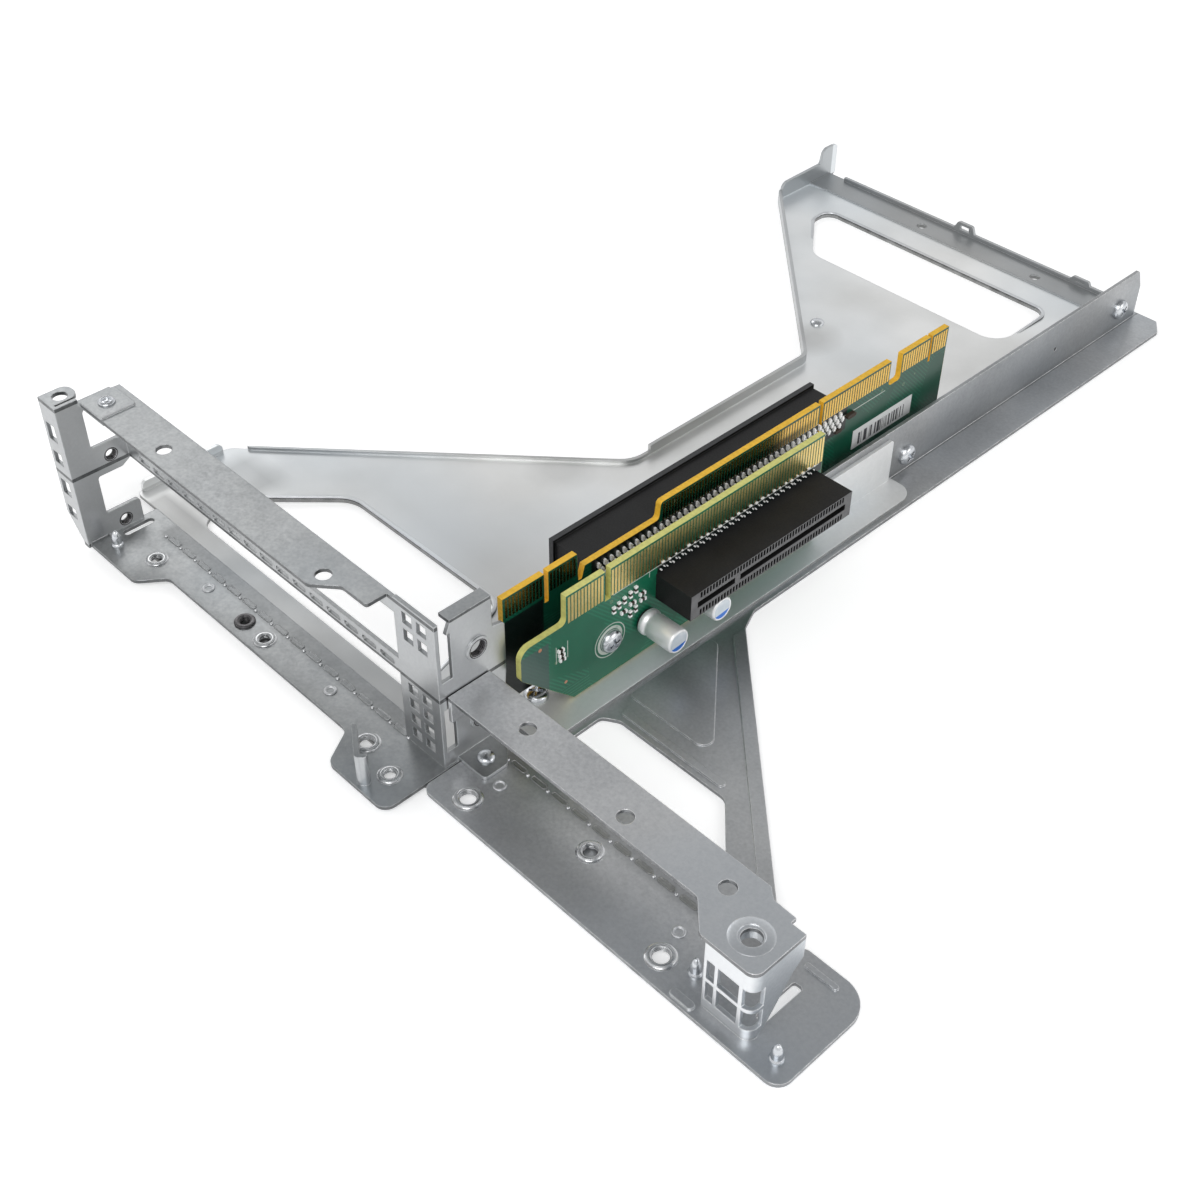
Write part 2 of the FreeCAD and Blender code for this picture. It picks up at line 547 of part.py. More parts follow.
# Base panel: left wing with its opening, waist, flare with the handle, rims and inner flange
cover = new_body("cover_plate")
far_y = size("panel_back")
wing_x = -size("panel_left")
waist_x = -size("waist_left")
flare_x = -size("flare_left")
flare_y = size("flare_end")
waist_y = size("waist_start")
wing_corner_y = size("wing_back")
outline = [
    (wing_x, size("panel_front_edge"), 1.5), (-116.0, size("panel_front_edge")), (-114.0, -6.0),
    (gap, -6.0, 1.0), (gap, size("wing_front") - gap), (-gap, size("wing_front") - gap),
    (-gap, size("inner_flange_start")), (-base, size("inner_flange_start")),
    (-base, far_y), (flare_x, far_y), (flare_x, flare_y, 3.0), (waist_x, size("waist_end"), 6.0),
    (waist_x, waist_y, 9.0), (wing_x, wing_corner_y, 4.0)]
opening = [
    (-size("opening_left"), size("opening_front"), 4.5),
    (-size("opening_right") + 14.0, size("opening_front"), 4.0),
    (-size("opening_right") + 4.0, size("opening_back"), 5.0), (-90.0, size("opening_back"), 9.0),
    (-size("opening_left"), 24.0, 6.0)]
handle = [
    (-size("handle_left") + 14.0, size("handle_front"), 7.0),
    (-size("handle_right"), size("handle_front"), 7.0),
    (-size("handle_right"), size("handle_back"), 4.0), (-size("handle_left"), size("handle_back"), 4.0),
    (-size("handle_left"), size("handle_back") - 7.0, 4.0)]
edge_holes = [(-76.2, far_y - 6.4, 1.6), (-32.0, far_y - 6.4, 1.6)]
panel(cover, "panel_sheet", "XY", 0.0, base, outline, [opening, handle],
      edge_holes + [panel_screw_spot + (size("screw_shank_r"),), stud_spot + (size("rivet_shank_r"),)])
rim = base + size("rim_rise")
panel(cover, "wing_end_rim", "YZ", wing_x, base, [
    (size("panel_front_edge") + 1.5, 0.0), (wing_corner_y - 2.0, 0.0), (wing_corner_y - 2.0, rim, 1.5),
    (size("panel_front_edge") + 1.5, rim, 1.5)])
# A rim follows the waist and the flare, and a low hem the wing's slanted edge
slant = 0.72
panel(cover, "side_rim", "XY", 0.0, rim, [
    (waist_x, waist_y + 6.0), (waist_x + base, waist_y + 6.0), (waist_x + base, size("waist_end") + 0.4, 5.0),
    (flare_x + base, flare_y + 0.4, 2.0), (flare_x + base, flare_y + 4.0), (flare_x, flare_y + 4.0),
    (flare_x, flare_y, 3.0), (waist_x, size("waist_end"), 6.0)])
panel(cover, "wing_hem", "XY", base, size("wing_hem"), [
    (wing_x + 4.0, wing_corner_y + 4.0 * slant + 0.9), (wing_x + 5.0, wing_corner_y + 5.0 * slant + 0.2),
    (waist_x + base, waist_y - 0.4, 8.0), (waist_x + base, waist_y + 8.0),
    (waist_x, waist_y + 8.0), (waist_x, waist_y, 9.0)])
# The flare's far corner stands up and ends in an ear
ear_end = far_y + 2.6
panel(cover, "far_flange", "YZ", flare_x, base, [
    (flare_y + 1.0, 0.0), (far_y, 0.0), (ear_end, base, 0.8), (ear_end, base + size("ear_rise"), 1.6),
    (far_y - 4.4, base + size("ear_rise"), 2.4), (far_y - 5.6, base + size("ear_rise") / 2 + 0.4, 1.0),
    (flare_y + 1.0, base + size("ear_rise") / 2, 2.4)])
panel(cover, "back_band", "XY", base, size("emboss_rise"), [
    (flare_x + base, far_y - size("back_band") - 1.0), (flare_x + 8.0, far_y - size("back_band"), 2.0),
    (-base, far_y - size("back_band")), (-base, far_y), (flare_x + base, far_y)], (), edge_holes)
panel(cover, "inner_flange", "YZ", -1.0 * base, base, [
    (size("inner_flange_start"), 0.0), (far_y - 2.5, 0.0),
    (far_y - 2.5, base + size("inner_flange_rise"), 2.0),
    (size("inner_flange_start"), base + size("inner_flange_rise"), 4.0)], (),
    [(y, z, screw_hole_r) for y, z in wall_screws + long_board_screws[1:]])
panel(cover, "back_rim", "XZ", far_y - base, base, box_points(
    flare_x + 8.0, 0.0, -base, base + size("emboss_rise") + size("back_hem")))
catch_w = size("catch_width")
for k in range(2):
    low = flare_x + 53.0 + size("catch_pitch") * k
    rise = base + size("catch_rise") - 1.2 * k
    panel(cover, "catch_%d" % k, "XZ", far_y - base, base, [
        (low, base), (low + catch_w, base), (low + catch_w - 1.6, rise, 0.8), (low + 2.4, rise, 0.8)],
        [[(low + 3.2, base + 1.0), (low + catch_w - 2.4, base + 1.0),
          (low + catch_w - 3.0, rise - 1.0), (low + 3.6, rise - 1.0)]])
pieces.append(finished(cover))


# Rail: wall, flange and the right wing with its opening
rail = new_body("guide_rail")
reach = size("wing_reach")
edge_x = size("rail_width")
panel(rail, "rail_sheet", "XY", 0.0, base, [
    (gap, size("wing_front")), (reach + 6.0, size("wing_front"), 2.0), (reach + 12.0, 15.0, 2.0),
    (reach + 2.0, 25.0, 3.0),
    (edge_x + 2.6, size("wing_back_end") - 6.0, 3.0), (edge_x, size("wing_back_end"), 3.0),
    (edge_x, size("rail_end") - 3.0, 1.0), (edge_x - 3.4, size("rail_end") + 2.0, 1.0),
    (0.0, size("rail_end") + 2.0),
    (0.0, size("rail_wall_start")), (gap, size("rail_wall_start"))],
    [[(11.6, 21.0, 2.0), (64.0, 21.0, 2.0), (47.5, 38.4, 3.0), (15.5, 38.4, 3.0), (11.6, 36.0, 2.0)]],
    [foot_spot + (size("rivet_shank_r"),)])
band = size("wing_band") * 1.414
band_end = setback + size("ledge_back") + gap
panel(rail, "wing_band", "XY", base, size("emboss_rise"), [
    (edge_x + 3.0, size("wing_back_end") - 6.6), (reach + 2.6, 25.0, 2.0), (reach + 9.4, band_end),
    (reach + 9.4 - band, band_end), (reach + 2.6 - band, 24.4),
    (edge_x + 3.0, size("wing_back_end") - 6.6 - band)])
panel(rail, "wing_bead", "XY", base, size("emboss_rise"), box_points(
    edge_x + 2.6, 39.9, edge_x + 33.7, 41.7, 0.8))
panel(rail, "wing_emboss", "XY", base, size("emboss_rise"), [
    (edge_x - 0.2, 45.4, 1.5), (edge_x + 26.2, 45.4, 2.5), (edge_x + 2.3, 72.5, 1.5),
    (edge_x - 0.2, 72.5, 1.0)])
panel(rail, "rail_wall", "YZ", 0.0, base, [
    (size("rail_wall_start"), 0.0), (size("rail_end"), 0.0), (size("rail_end"), size("rail_wall_rise") - 6.0),
    (size("rail_end") - 2.6, size("rail_wall_rise"), 1.0),
    (size("rail_wall_start"), size("rail_wall_rise"), 2.0)],
    (), [(y, z, screw_hole_r) for y, z in wall_screws + long_board_screws] + [(227.1, 8.2, 0.6)])
pieces.append(finished(rail))


# Carrier bracket: floor and low wall that hold the boards beside the rail wall
carrier = new_body("riser_carrier_bracket")
panel(carrier, "carrier_floor", "XY", base, base, [
    (-8.0, size("carrier_front"), 1.0), (size("carrier_width"), size("carrier_front"), 1.0),
    (size("carrier_width"), size("carrier_end"), 5.0), (base, size("carrier_end")),
    (base, size("rail_wall_start") - gap), (-8.0, size("rail_wall_start") - gap, 1.0)],
    (), [panel_screw_spot + (screw_hole_r,)])
panel(carrier, "carrier_wall", "YZ", base, base, [
    (size("rail_wall_start"), base), (size("carrier_end") - 1.0, base),
    (size("carrier_end") - 1.0, size("carrier_rise"), 1.0),
    (size("rail_wall_start"), size("carrier_rise"), 1.0)],
    (), [board_screw_spot + (size("screw_shank_r"),)])
pieces.append(finished(carrier))


# Boards
thick = size("board_thickness")
long_x = -base - size("long_board_gap") - thick
short_x = base * 2 + size("short_board_gap")
top_a = size("long_board_top")
low_a = top_a - 4.6
mid_key = size("middle_key")
long_board = new_body("long_riser_board")
panel(long_board, "long_board_sheet", "YZ", long_x, thick, [
    (size("long_board_start"), size("long_board_bottom"), 1.0),
    (size("long_board_end"), size("long_board_bottom"), 1.0),
    (size("long_board_end"), top_a), (170.2, top_a), (170.2, top_a - 7.6),
    (169.4, top_a - 7.6), (169.4, top_a),
    (157.8, top_a), (157.8, top_a - 7.5, 1.0), (153.1, top_a - 7.5, 1.0), (153.1, top_a),
    (mid_key + size("key_width"), top_a), (mid_key + size("key_width"), top_a - size("key_depth")),
    (mid_key, top_a - size("key_depth")), (mid_key, top_a), (69.6, top_a, 1.0),
    (69.0, low_a, 1.0), (45.6, low_a), (44.6, low_a - 3.2), (43.6, low_a - 3.2),
    (43.2, top_a), (size("key_start") + size("key_width"), top_a),
    (size("key_start") + size("key_width"), top_a - size("key_depth")),
    (size("key_start"), top_a - size("key_depth")), (size("key_start"), top_a),
    (size("long_board_start"), top_a)],
    (), [(y, z, screw_hole_r) for y, z in long_board_screws])
pieces.append(finished(long_board))
short_board = new_body("short_riser_board")
top_b = size("short_board_top")
panel(short_board, "short_board_sheet", "YZ", short_x, thick, [
    (34.9, size("short_board_bottom"), 1.0), (size("short_board_end"), size("short_board_bottom"), 1.0),
    (size("short_board_end"), top_b), (46.2, top_b), (46.2, top_b - 8.6),
    (44.5, top_b - 8.6), (44.5, top_b), (size("short_board_start"), top_b),
    (size("short_board_start"), size("short_step"), 1.5),
    (size("short_left"), size("short_step"), 3.0), (size("short_left"), 18.0, 2.0)],
    (), [board_screw_spot + (screw_hole_r,)])
pieces.append(finished(short_board))


# Edge connectors with a card slit and two rows of contact cavities
def edge_connector(label, outer_x, mouth, start, length, height):
    """A slot housing; mouth is the side of X on which the card goes in."""
    body = new_body(label)
    depth = size("slot_body_depth")
    half = size("slot_body_width") / 2
    low_x = outer_x if mouth > 0 else outer_x - depth
    panel(body, label + "_block", "YZ", low_x, depth, box_points(
        start, height - half, start + length, height + half))
    if mouth < 0:
        lip = size("slot_lip")
        panel(body, label + "_lip", "YZ", low_x, lip * 2, box_points(
            start - lip, height - half - lip, start + length + lip, height + half + lip))
    slit_x = low_x + depth - size("card_depth") if mouth > 0 else low_x
    slit = size("card_slit") / 2
    key = start + 14.6
    cut(body, label + "_slit", "YZ", slit_x, size("card_depth"), [
        box_points(start + 2.2, height - slit, key, height + slit),
        box_points(key + 1.8, height - slit, start + length - 2.2, height + slit)])
    face_x = low_x + depth - size("contact_depth") if mouth > 0 else low_x
    row = []
    for side in (-1, 1):
        v = height + (slit + 0.9) * side
        if side < 0:
            v = v - size("contact_slot_height")
        row.append(box_points(
            start + 3.0, v, start + 3.0 + size("contact_width"), v + size("contact_slot_height")))
    cavity = cut(body, label + "_cavity", "YZ", face_x, size("contact_depth"), row)
    step = number(size("cell_pitch")) * (1 if mouth > 0 else 2)
    cells = int(round((number(length) - 6.0) / step))
    repeat(body, label + "_cavities", cavity, "H_Axis", length - 6.0 - size("contact_width"), cells)
    return body


x16 = edge_connector("x16_slot_housing", long_x, -1, size("long_slot_start"),
                     size("long_slot_length"), size("long_slot_height"))
x8 = edge_connector("x8_slot_housing", short_x + thick, 1, size("short_slot_start"),
                    size("short_slot_length"), size("short_slot_height"))
pieces += [x16, x8]


# Capacitors: base and can, lying on the short board
board_face = short_x + thick
bases, cans = [], []
for k in range(2):
    y = size("can_y") + size("can_pitch") * k
    z = size("can_height_up") + size("can_lift") * k
    bases.append(cylinder("can_base_%d" % k, (board_face, y, z), "X", size("can_r") + 0.2, size("can_base")))
    cans.append(cylinder(
        "can_%d" % k, (board_face + size("can_base"), y, z), "X", size("can_r"), size("can_height")))
pieces.append(solids_group("capacitor_bases", bases))
pieces.append(solids_group("capacitor_cans", cans))


def pan_screw(name, spot, axis, grip):
    """A pan-head screw; spot is the middle of the seat below its head."""
    sign = -1 if axis.startswith("-") else 1
    letter = "xyz".index(axis[-1].lower())
    start = list(spot)
    start[letter] = start[letter] - grip * sign
    shank = cylinder(name + "_shank", start, axis, size("screw_shank_r"), grip)
    head = cylinder(name + "_head", spot, axis, size("screw_head_r"), size("screw_head_height"))
    return fused(name, [shank, head])


rail_screws = [pan_screw("rail_screw_%d" % k, (base, y, z), "X", base * 3)
               for k, (y, z) in enumerate(wall_screws)]
pieces.append(solids_group("rail_screws", rail_screws))
pieces.append(solids_group("board_screws", [
    pan_screw("short_board_screw", (board_face,) + board_screw_spot, "X",
              thick + size("short_board_gap") + base)] + [
    pan_screw("long_board_screw_%d" % k, (long_x, y, z), "-X", thick + size("long_board_gap") + base)
    for k, (y, z) in enumerate(long_board_screws)]))
pieces.append(solids_group("panel_screw", [
    pan_screw("panel_screw_body", panel_screw_spot + (base * 2,), "Z", base * 2)]))


def sleeve(name, base_point, axis, inner, wall, height):
    """A round spacer with a hole through it."""
    outer = cylinder(name + "_outer", base_point, axis, inner + wall, height)
    bore = cylinder(name + "_bore", base_point, axis, inner, height)
    item = doc.addObject("Part::Cut", name)
    item.Base = outer
    item.Tool = bore
    return item


# Spacers hold the long board clear of the wall
spacers = []
for k, (y, z) in enumerate(long_board_screws):
    reach_x = size("long_board_gap") if k else size("long_board_gap") + base
    spacers.append(sleeve("spacer_%d" % k, (long_x + thick, y, z), "X", screw_hole_r, 1.1, reach_x))
pieces.append(solids_group("board_spacers", spacers))

# Locating pins, rivets and clinch buttons
pins = []
for k, (x, y) in enumerate(((post_x + 4.9, -10.6), (74.6, 0.6), (98.2, -2.4))):
    pins.append(cylinder("pin_%d" % k, (x, y, ledge_top), "Z", size("pin_r"), size("pin_height")))
pieces.append(solids_group("locating_pins", pins))


def rivet(name, spot, top, shank_r, head_r, rise):
    """A rivet through the sheets below its head."""
    shank = cylinder(name + "_shank", spot + (0.0,), "Z", shank_r, top)
    head = cylinder(name + "_head", spot + (top,), "Z", head_r, rise)
    return fused(name, [shank, head])


pieces.append(solids_group("foot_rivet", [rivet(
    "foot_rivet_body", foot_spot, ledge_top + frame, size("rivet_shank_r"), size("rivet_head_r"), 1.2)]))
pieces.append(solids_group("clinch_joints", [
    cylinder("clinch_%d" % k, spot + (ledge_top,), "Z", size("clinch_head_r"), size("clinch_rise"))
    for k, spot in enumerate(clinches_left + clinches_right)]))
strip_head = left_top + size("emboss_rise")
strip_grip = frame * 2 + size("emboss_rise")
pieces.append(solids_group("strip_rivet", [fused("strip_rivet_body", [
    cylinder("strip_rivet_shank", strip_rivet_spot + (strip_head - strip_grip,), "Z",
             size("rivet_shank_r"), strip_grip),
    cylinder("strip_rivet_head", strip_rivet_spot + (strip_head,), "Z", size("rivet_head_r"), 0.7)])]))
pieces.append(solids_group("panel_stud", [rivet(
    "panel_stud_body", stud_spot, base, size("rivet_shank_r"), size("rivet_head_r"), 1.0)]))

# Threaded insert pressed into the left ledge
insert_outer = cylinder("insert_barrel", insert_spot + (base,), "Z", 1.9, frame + 0.6)
insert_rim = cylinder("insert_rim", insert_spot + (ledge_top,), "Z", 1.9 + size("insert_flange"), 0.6)
insert = doc.addObject("Part::Cut", "insert_body")
insert.Base = fused("insert_solid", [insert_outer, insert_rim])
insert.Tool = cylinder("insert_bore", insert_spot + (base,), "Z", size("screw_shank_r"), frame + 0.6)
pieces.append(solids_group("ledge_insert", [insert]))


def contact_strips(label, faces, groups, top, heights):
    """Gold contact areas along a board's top edge, on its front and its back face."""
    strips = []
    thin = size("finger_thickness")
    for k, (low, high) in enumerate(groups):
        for side, x in enumerate((faces[0], faces[1] - thin)):
            rise = heights[side]
            strips.append(block("%s_%d_%d" % (label, k, side), (x, low, top - size("finger_edge") - rise),
                                (thin, high - low, rise)))
    return solids_group(label, strips)


edge_gap = 0.6
back_rise = top_a - size("finger_edge") - size("long_slot_height") - size("slot_body_width") / 2 - 0.2
key_end = size("key_start") + size("key_width")
pieces.append(contact_strips("long_board_contacts", (long_x + thick, long_x), [
    (size("long_board_start") + edge_gap, size("key_start") - edge_gap),
    (key_end + edge_gap, 43.2 - edge_gap),
    (69.6 + edge_gap, mid_key - edge_gap), (mid_key + size("key_width") + edge_gap, 153.1 - edge_gap),
    (157.8 + edge_gap, 169.4 - edge_gap), (170.2 + edge_gap, size("long_board_end") - edge_gap)],
    top_a, (size("finger_height"), back_rise)))
pieces.append(contact_strips("short_board_contacts", (board_face, short_x), [
    (size("short_board_start") + edge_gap, 44.5 - edge_gap),
    (46.2 + edge_gap, size("short_board_end") - edge_gap)],
    top_b, (size("finger_height") + 1.0, size("finger_height") + 1.0)))
pieces.append(solids_group("board_label", [block("label_plate", (long_x + thick, size("label_start"), 14.3),
                                                 (0.1, size("label_length"), size("label_height")))]))

doc.recompute()

for item in doc.Objects:
    for word in ("Invalid", "Error"):
        if word in item.State:
            raise RuntimeError("%s is %s" % (item.Name, item.State))
for piece in pieces:
    shape = piece.Shape
    if shape.isNull() or not shape.isValid():
        raise RuntimeError("%s has no valid shape" % piece.Label)
    print("%-24s solids %3d  volume %10.2f  faces %4d" % (
        piece.Label, len(shape.Solids), shape.Volume, len(shape.Faces)))

os.makedirs("parts", exist_ok=True)
for piece in pieces:
    piece.Shape.exportStep("parts/%s.step" % piece.Label)
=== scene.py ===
"""The looks of a riser cage bracket: zinc sheet, slot boards and fasteners, lit softly on a pale floor."""

import logging
import math
from dataclasses import dataclass, field
from enum import Enum
from functools import cache, reduce

import bmesh
import bpy
from mathutils import Matrix, Vector


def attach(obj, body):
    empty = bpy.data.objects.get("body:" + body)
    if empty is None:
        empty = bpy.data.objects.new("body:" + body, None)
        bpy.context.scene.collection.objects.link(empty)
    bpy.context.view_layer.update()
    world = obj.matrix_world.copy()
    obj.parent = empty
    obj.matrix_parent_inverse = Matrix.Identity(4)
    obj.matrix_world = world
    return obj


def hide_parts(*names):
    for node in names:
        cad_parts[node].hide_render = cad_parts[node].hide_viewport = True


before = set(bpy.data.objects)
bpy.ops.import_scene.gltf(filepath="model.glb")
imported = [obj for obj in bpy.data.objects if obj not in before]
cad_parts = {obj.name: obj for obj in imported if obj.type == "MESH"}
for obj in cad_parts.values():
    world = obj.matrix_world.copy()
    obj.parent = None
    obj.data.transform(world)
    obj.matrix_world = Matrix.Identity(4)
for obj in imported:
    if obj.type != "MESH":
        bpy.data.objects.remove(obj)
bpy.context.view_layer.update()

MM = 0.001
SHARP_ANGLE = 35
WELD = 1e-7
ROW_SEED = 7
COPY_SEED = 11
ANY_TURN = 6.28
QUARTER = math.pi / 2

Tree = bpy.types.NodeTree
Node = bpy.types.Node
Socket = bpy.types.NodeSocket
Material = bpy.types.Material
Mesh = bpy.types.Mesh
Build = bmesh.types.BMesh
Ports = bpy.types.bpy_prop_collection
Ring = list[bmesh.types.BMVert]
Colour = tuple[float, float, float]
Point = tuple[float, float, float]
Box = tuple[float, float, float, float]
Outline = list[tuple[float, float]]
Levels = list[tuple[Outline, float]]

log = logging.getLogger("riser_cage")


class Slot(Enum):
    """The names of the record's material slots."""

    STEEL = "galvanised_steel"
    PLASTIC = "black_plastic"
    CAN = "can_metal"
    PLATED = "plated_steel"
    GOLD = "contact_gold"


class Shape(Enum):
    """The simple shapes that a row is made of."""

    BOX = "GeometryNodeMeshCube"
    PIN = "GeometryNodeMeshCylinder"
    DOME = "GeometryNodeMeshUVSphere"


class Axis(Enum):
    """The axis that an outline is raised along or a ring is turned about."""

    X = "x"
    Z = "z"

    def point(self, u: float, v: float, height: float) -> Vector:
        """Give the point in metres for an outline's two numbers and a height along the axis."""
        return Vector((height, u, v) if self is Axis.X else (u, v, height)) * MM


def tint(colour: Colour, factor: float, most: float = 1.0) -> Colour:
    """Give the colour times a factor, with no channel above a limit."""
    return tuple(min(most, c * factor) for c in colour)


def metres(point: Point) -> Point:
    """Give a point or size in metres from one in millimetres."""
    return tuple(c * MM for c in point)


# Node trees


class Wiring:
    """Adds and joins the nodes of one tree."""

    def __init__(self, tree: Tree) -> None:
        """Keep the tree that the nodes go into."""
        self.tree = tree

    def put(self, socket: Socket, value: object) -> None:
        """Link or set one input.

        Args:
            socket: The input.
            value: A socket to link from, or a plain value.
        """
        if isinstance(value, Socket):
            self.tree.links.new(value, socket)
        elif socket.type == "RGBA" and len(value) == 3:
            socket.default_value = (*value, 1.0)
        else:
            socket.default_value = value

    def add(self, kind: str, inputs: dict | None = None, **settings: object) -> Node:
        """Add a node.

        Args:
            kind: The node's type.
            inputs: Values or sockets for its inputs, by name or number.
            settings: The node's own properties.

        Returns:
            The new node.
        """
        node = self.tree.nodes.new(kind)
        for key, value in settings.items():
            setattr(node, key, value)
        for key, value in (inputs or {}).items():
            self.put(node.inputs[key], value)
        return node

    def math(self, operation: str, *values: object) -> Socket:
        """Give the result of a Math node."""
        return self.add("ShaderNodeMath", dict(enumerate(values)), operation=operation).outputs[0]

    def times(self, *values: object) -> Socket:
        """Multiply the values with each other."""
        return reduce(lambda a, b: self.math("MULTIPLY", a, b), values)

    def plus(self, *values: object) -> Socket:
        """Add the values up."""
        return reduce(lambda a, b: self.math("ADD", a, b), values)

    def over(self, value: object, limit: float) -> Socket:
        """Tell with 1 or 0 whether a value is above a limit."""
        return self.math("GREATER_THAN", value, limit)

    def under(self, value: object, limit: float) -> Socket:
        """Tell with 1 or 0 whether a value is below a limit."""
        return self.math("LESS_THAN", value, limit)

    def within(self, value: object, low: float, high: float) -> Socket:
        """Tell with 1 or 0 whether a value lies between two limits in millimetres."""
        return self.times(self.over(value, low * MM), self.under(value, high * MM))

    def span(self, value: object, low: float, high: float, out_low: float = 0.0,
             out_high: float = 1.0) -> Socket:
        """Map a value from one range to another, clamped."""
        keys = {"Value": value, "From Min": low, "From Max": high, "To Min": out_low, "To Max": out_high}
        return self.add("ShaderNodeMapRange", keys, clamp=True).outputs["Result"]

    def plateau(self, value: object, low: float, high: float, blur: float) -> Socket:
        """Give 1 between two limits in millimetres and 0 outside, with soft flanks."""
        rise = self.span(value, (low - blur) * MM, (low + blur) * MM)
        return self.times(rise, self.span(value, (high + blur) * MM, (high - blur) * MM))

    def mix(self, factor: object, first: object, second: object) -> Socket:
        """Mix two colours."""
        return self.add("ShaderNodeMix", {0: factor, 6: first, 7: second}, data_type="RGBA").outputs[2]

    def noise(self, where: object, scale: object, detail: float = 3.0) -> Socket:
        """Give a noise value at a place."""
        keys = {"Vector": where, "Scale": scale, "Detail": detail}
        return self.add("ShaderNodeTexNoise", keys).outputs["Fac"]

    def patchy(self, scale: float, dark: Colour, pale: Colour, spread: float = 0.2) -> Socket:
        """Mix two colours in soft patches."""
        return self.mix(self.span(self.noise(self.place(), scale), 0.5 - spread, 0.5 + spread), dark, pale)

    def cells(self, scale: object) -> tuple[Socket, Ports]:
        """Give a cell pattern's distance and its random colour split into channels."""
        cell = self.add("ShaderNodeTexVoronoi", {"Vector": self.place(), "Scale": scale}).outputs
        return cell["Distance"], self.add("ShaderNodeSeparateColor", {"Color": cell["Color"]}).outputs

    def away(self, where: object, spot: Point) -> Socket:
        """Give the distance of a place from a spot in millimetres."""
        keys = {0: where, 1: metres(spot)}
        return self.add("ShaderNodeVectorMath", keys, operation="DISTANCE").outputs["Value"]

    def scaled(self, vector: object, factor: object) -> Socket:
        """Give a vector times a number."""
        return self.add("ShaderNodeVectorMath", {0: vector, "Scale": factor}, operation="SCALE").outputs[0]

    def random(self, low: object, high: object, seed: object) -> Socket:
        """Draw a number between two limits for each point."""
        keys = {2: low, 3: high, "Seed": seed}
        return self.add("FunctionNodeRandomValue", keys, data_type="FLOAT").outputs[1]

    def rotation(self, angles: object) -> Socket:
        """Turn three angles into a rotation."""
        return self.add("FunctionNodeEulerToRotation", {0: angles}).outputs[0]

    def place(self, which: str = "Object") -> Socket:
        """Give the texture coordinate of that name."""
        return self.add("ShaderNodeTexCoord").outputs[which]

    def parts(self, vector: object) -> list[Socket]:
        """Split a vector into its three numbers."""
        return list(self.add("ShaderNodeSeparateXYZ", {"Vector": vector}).outputs)


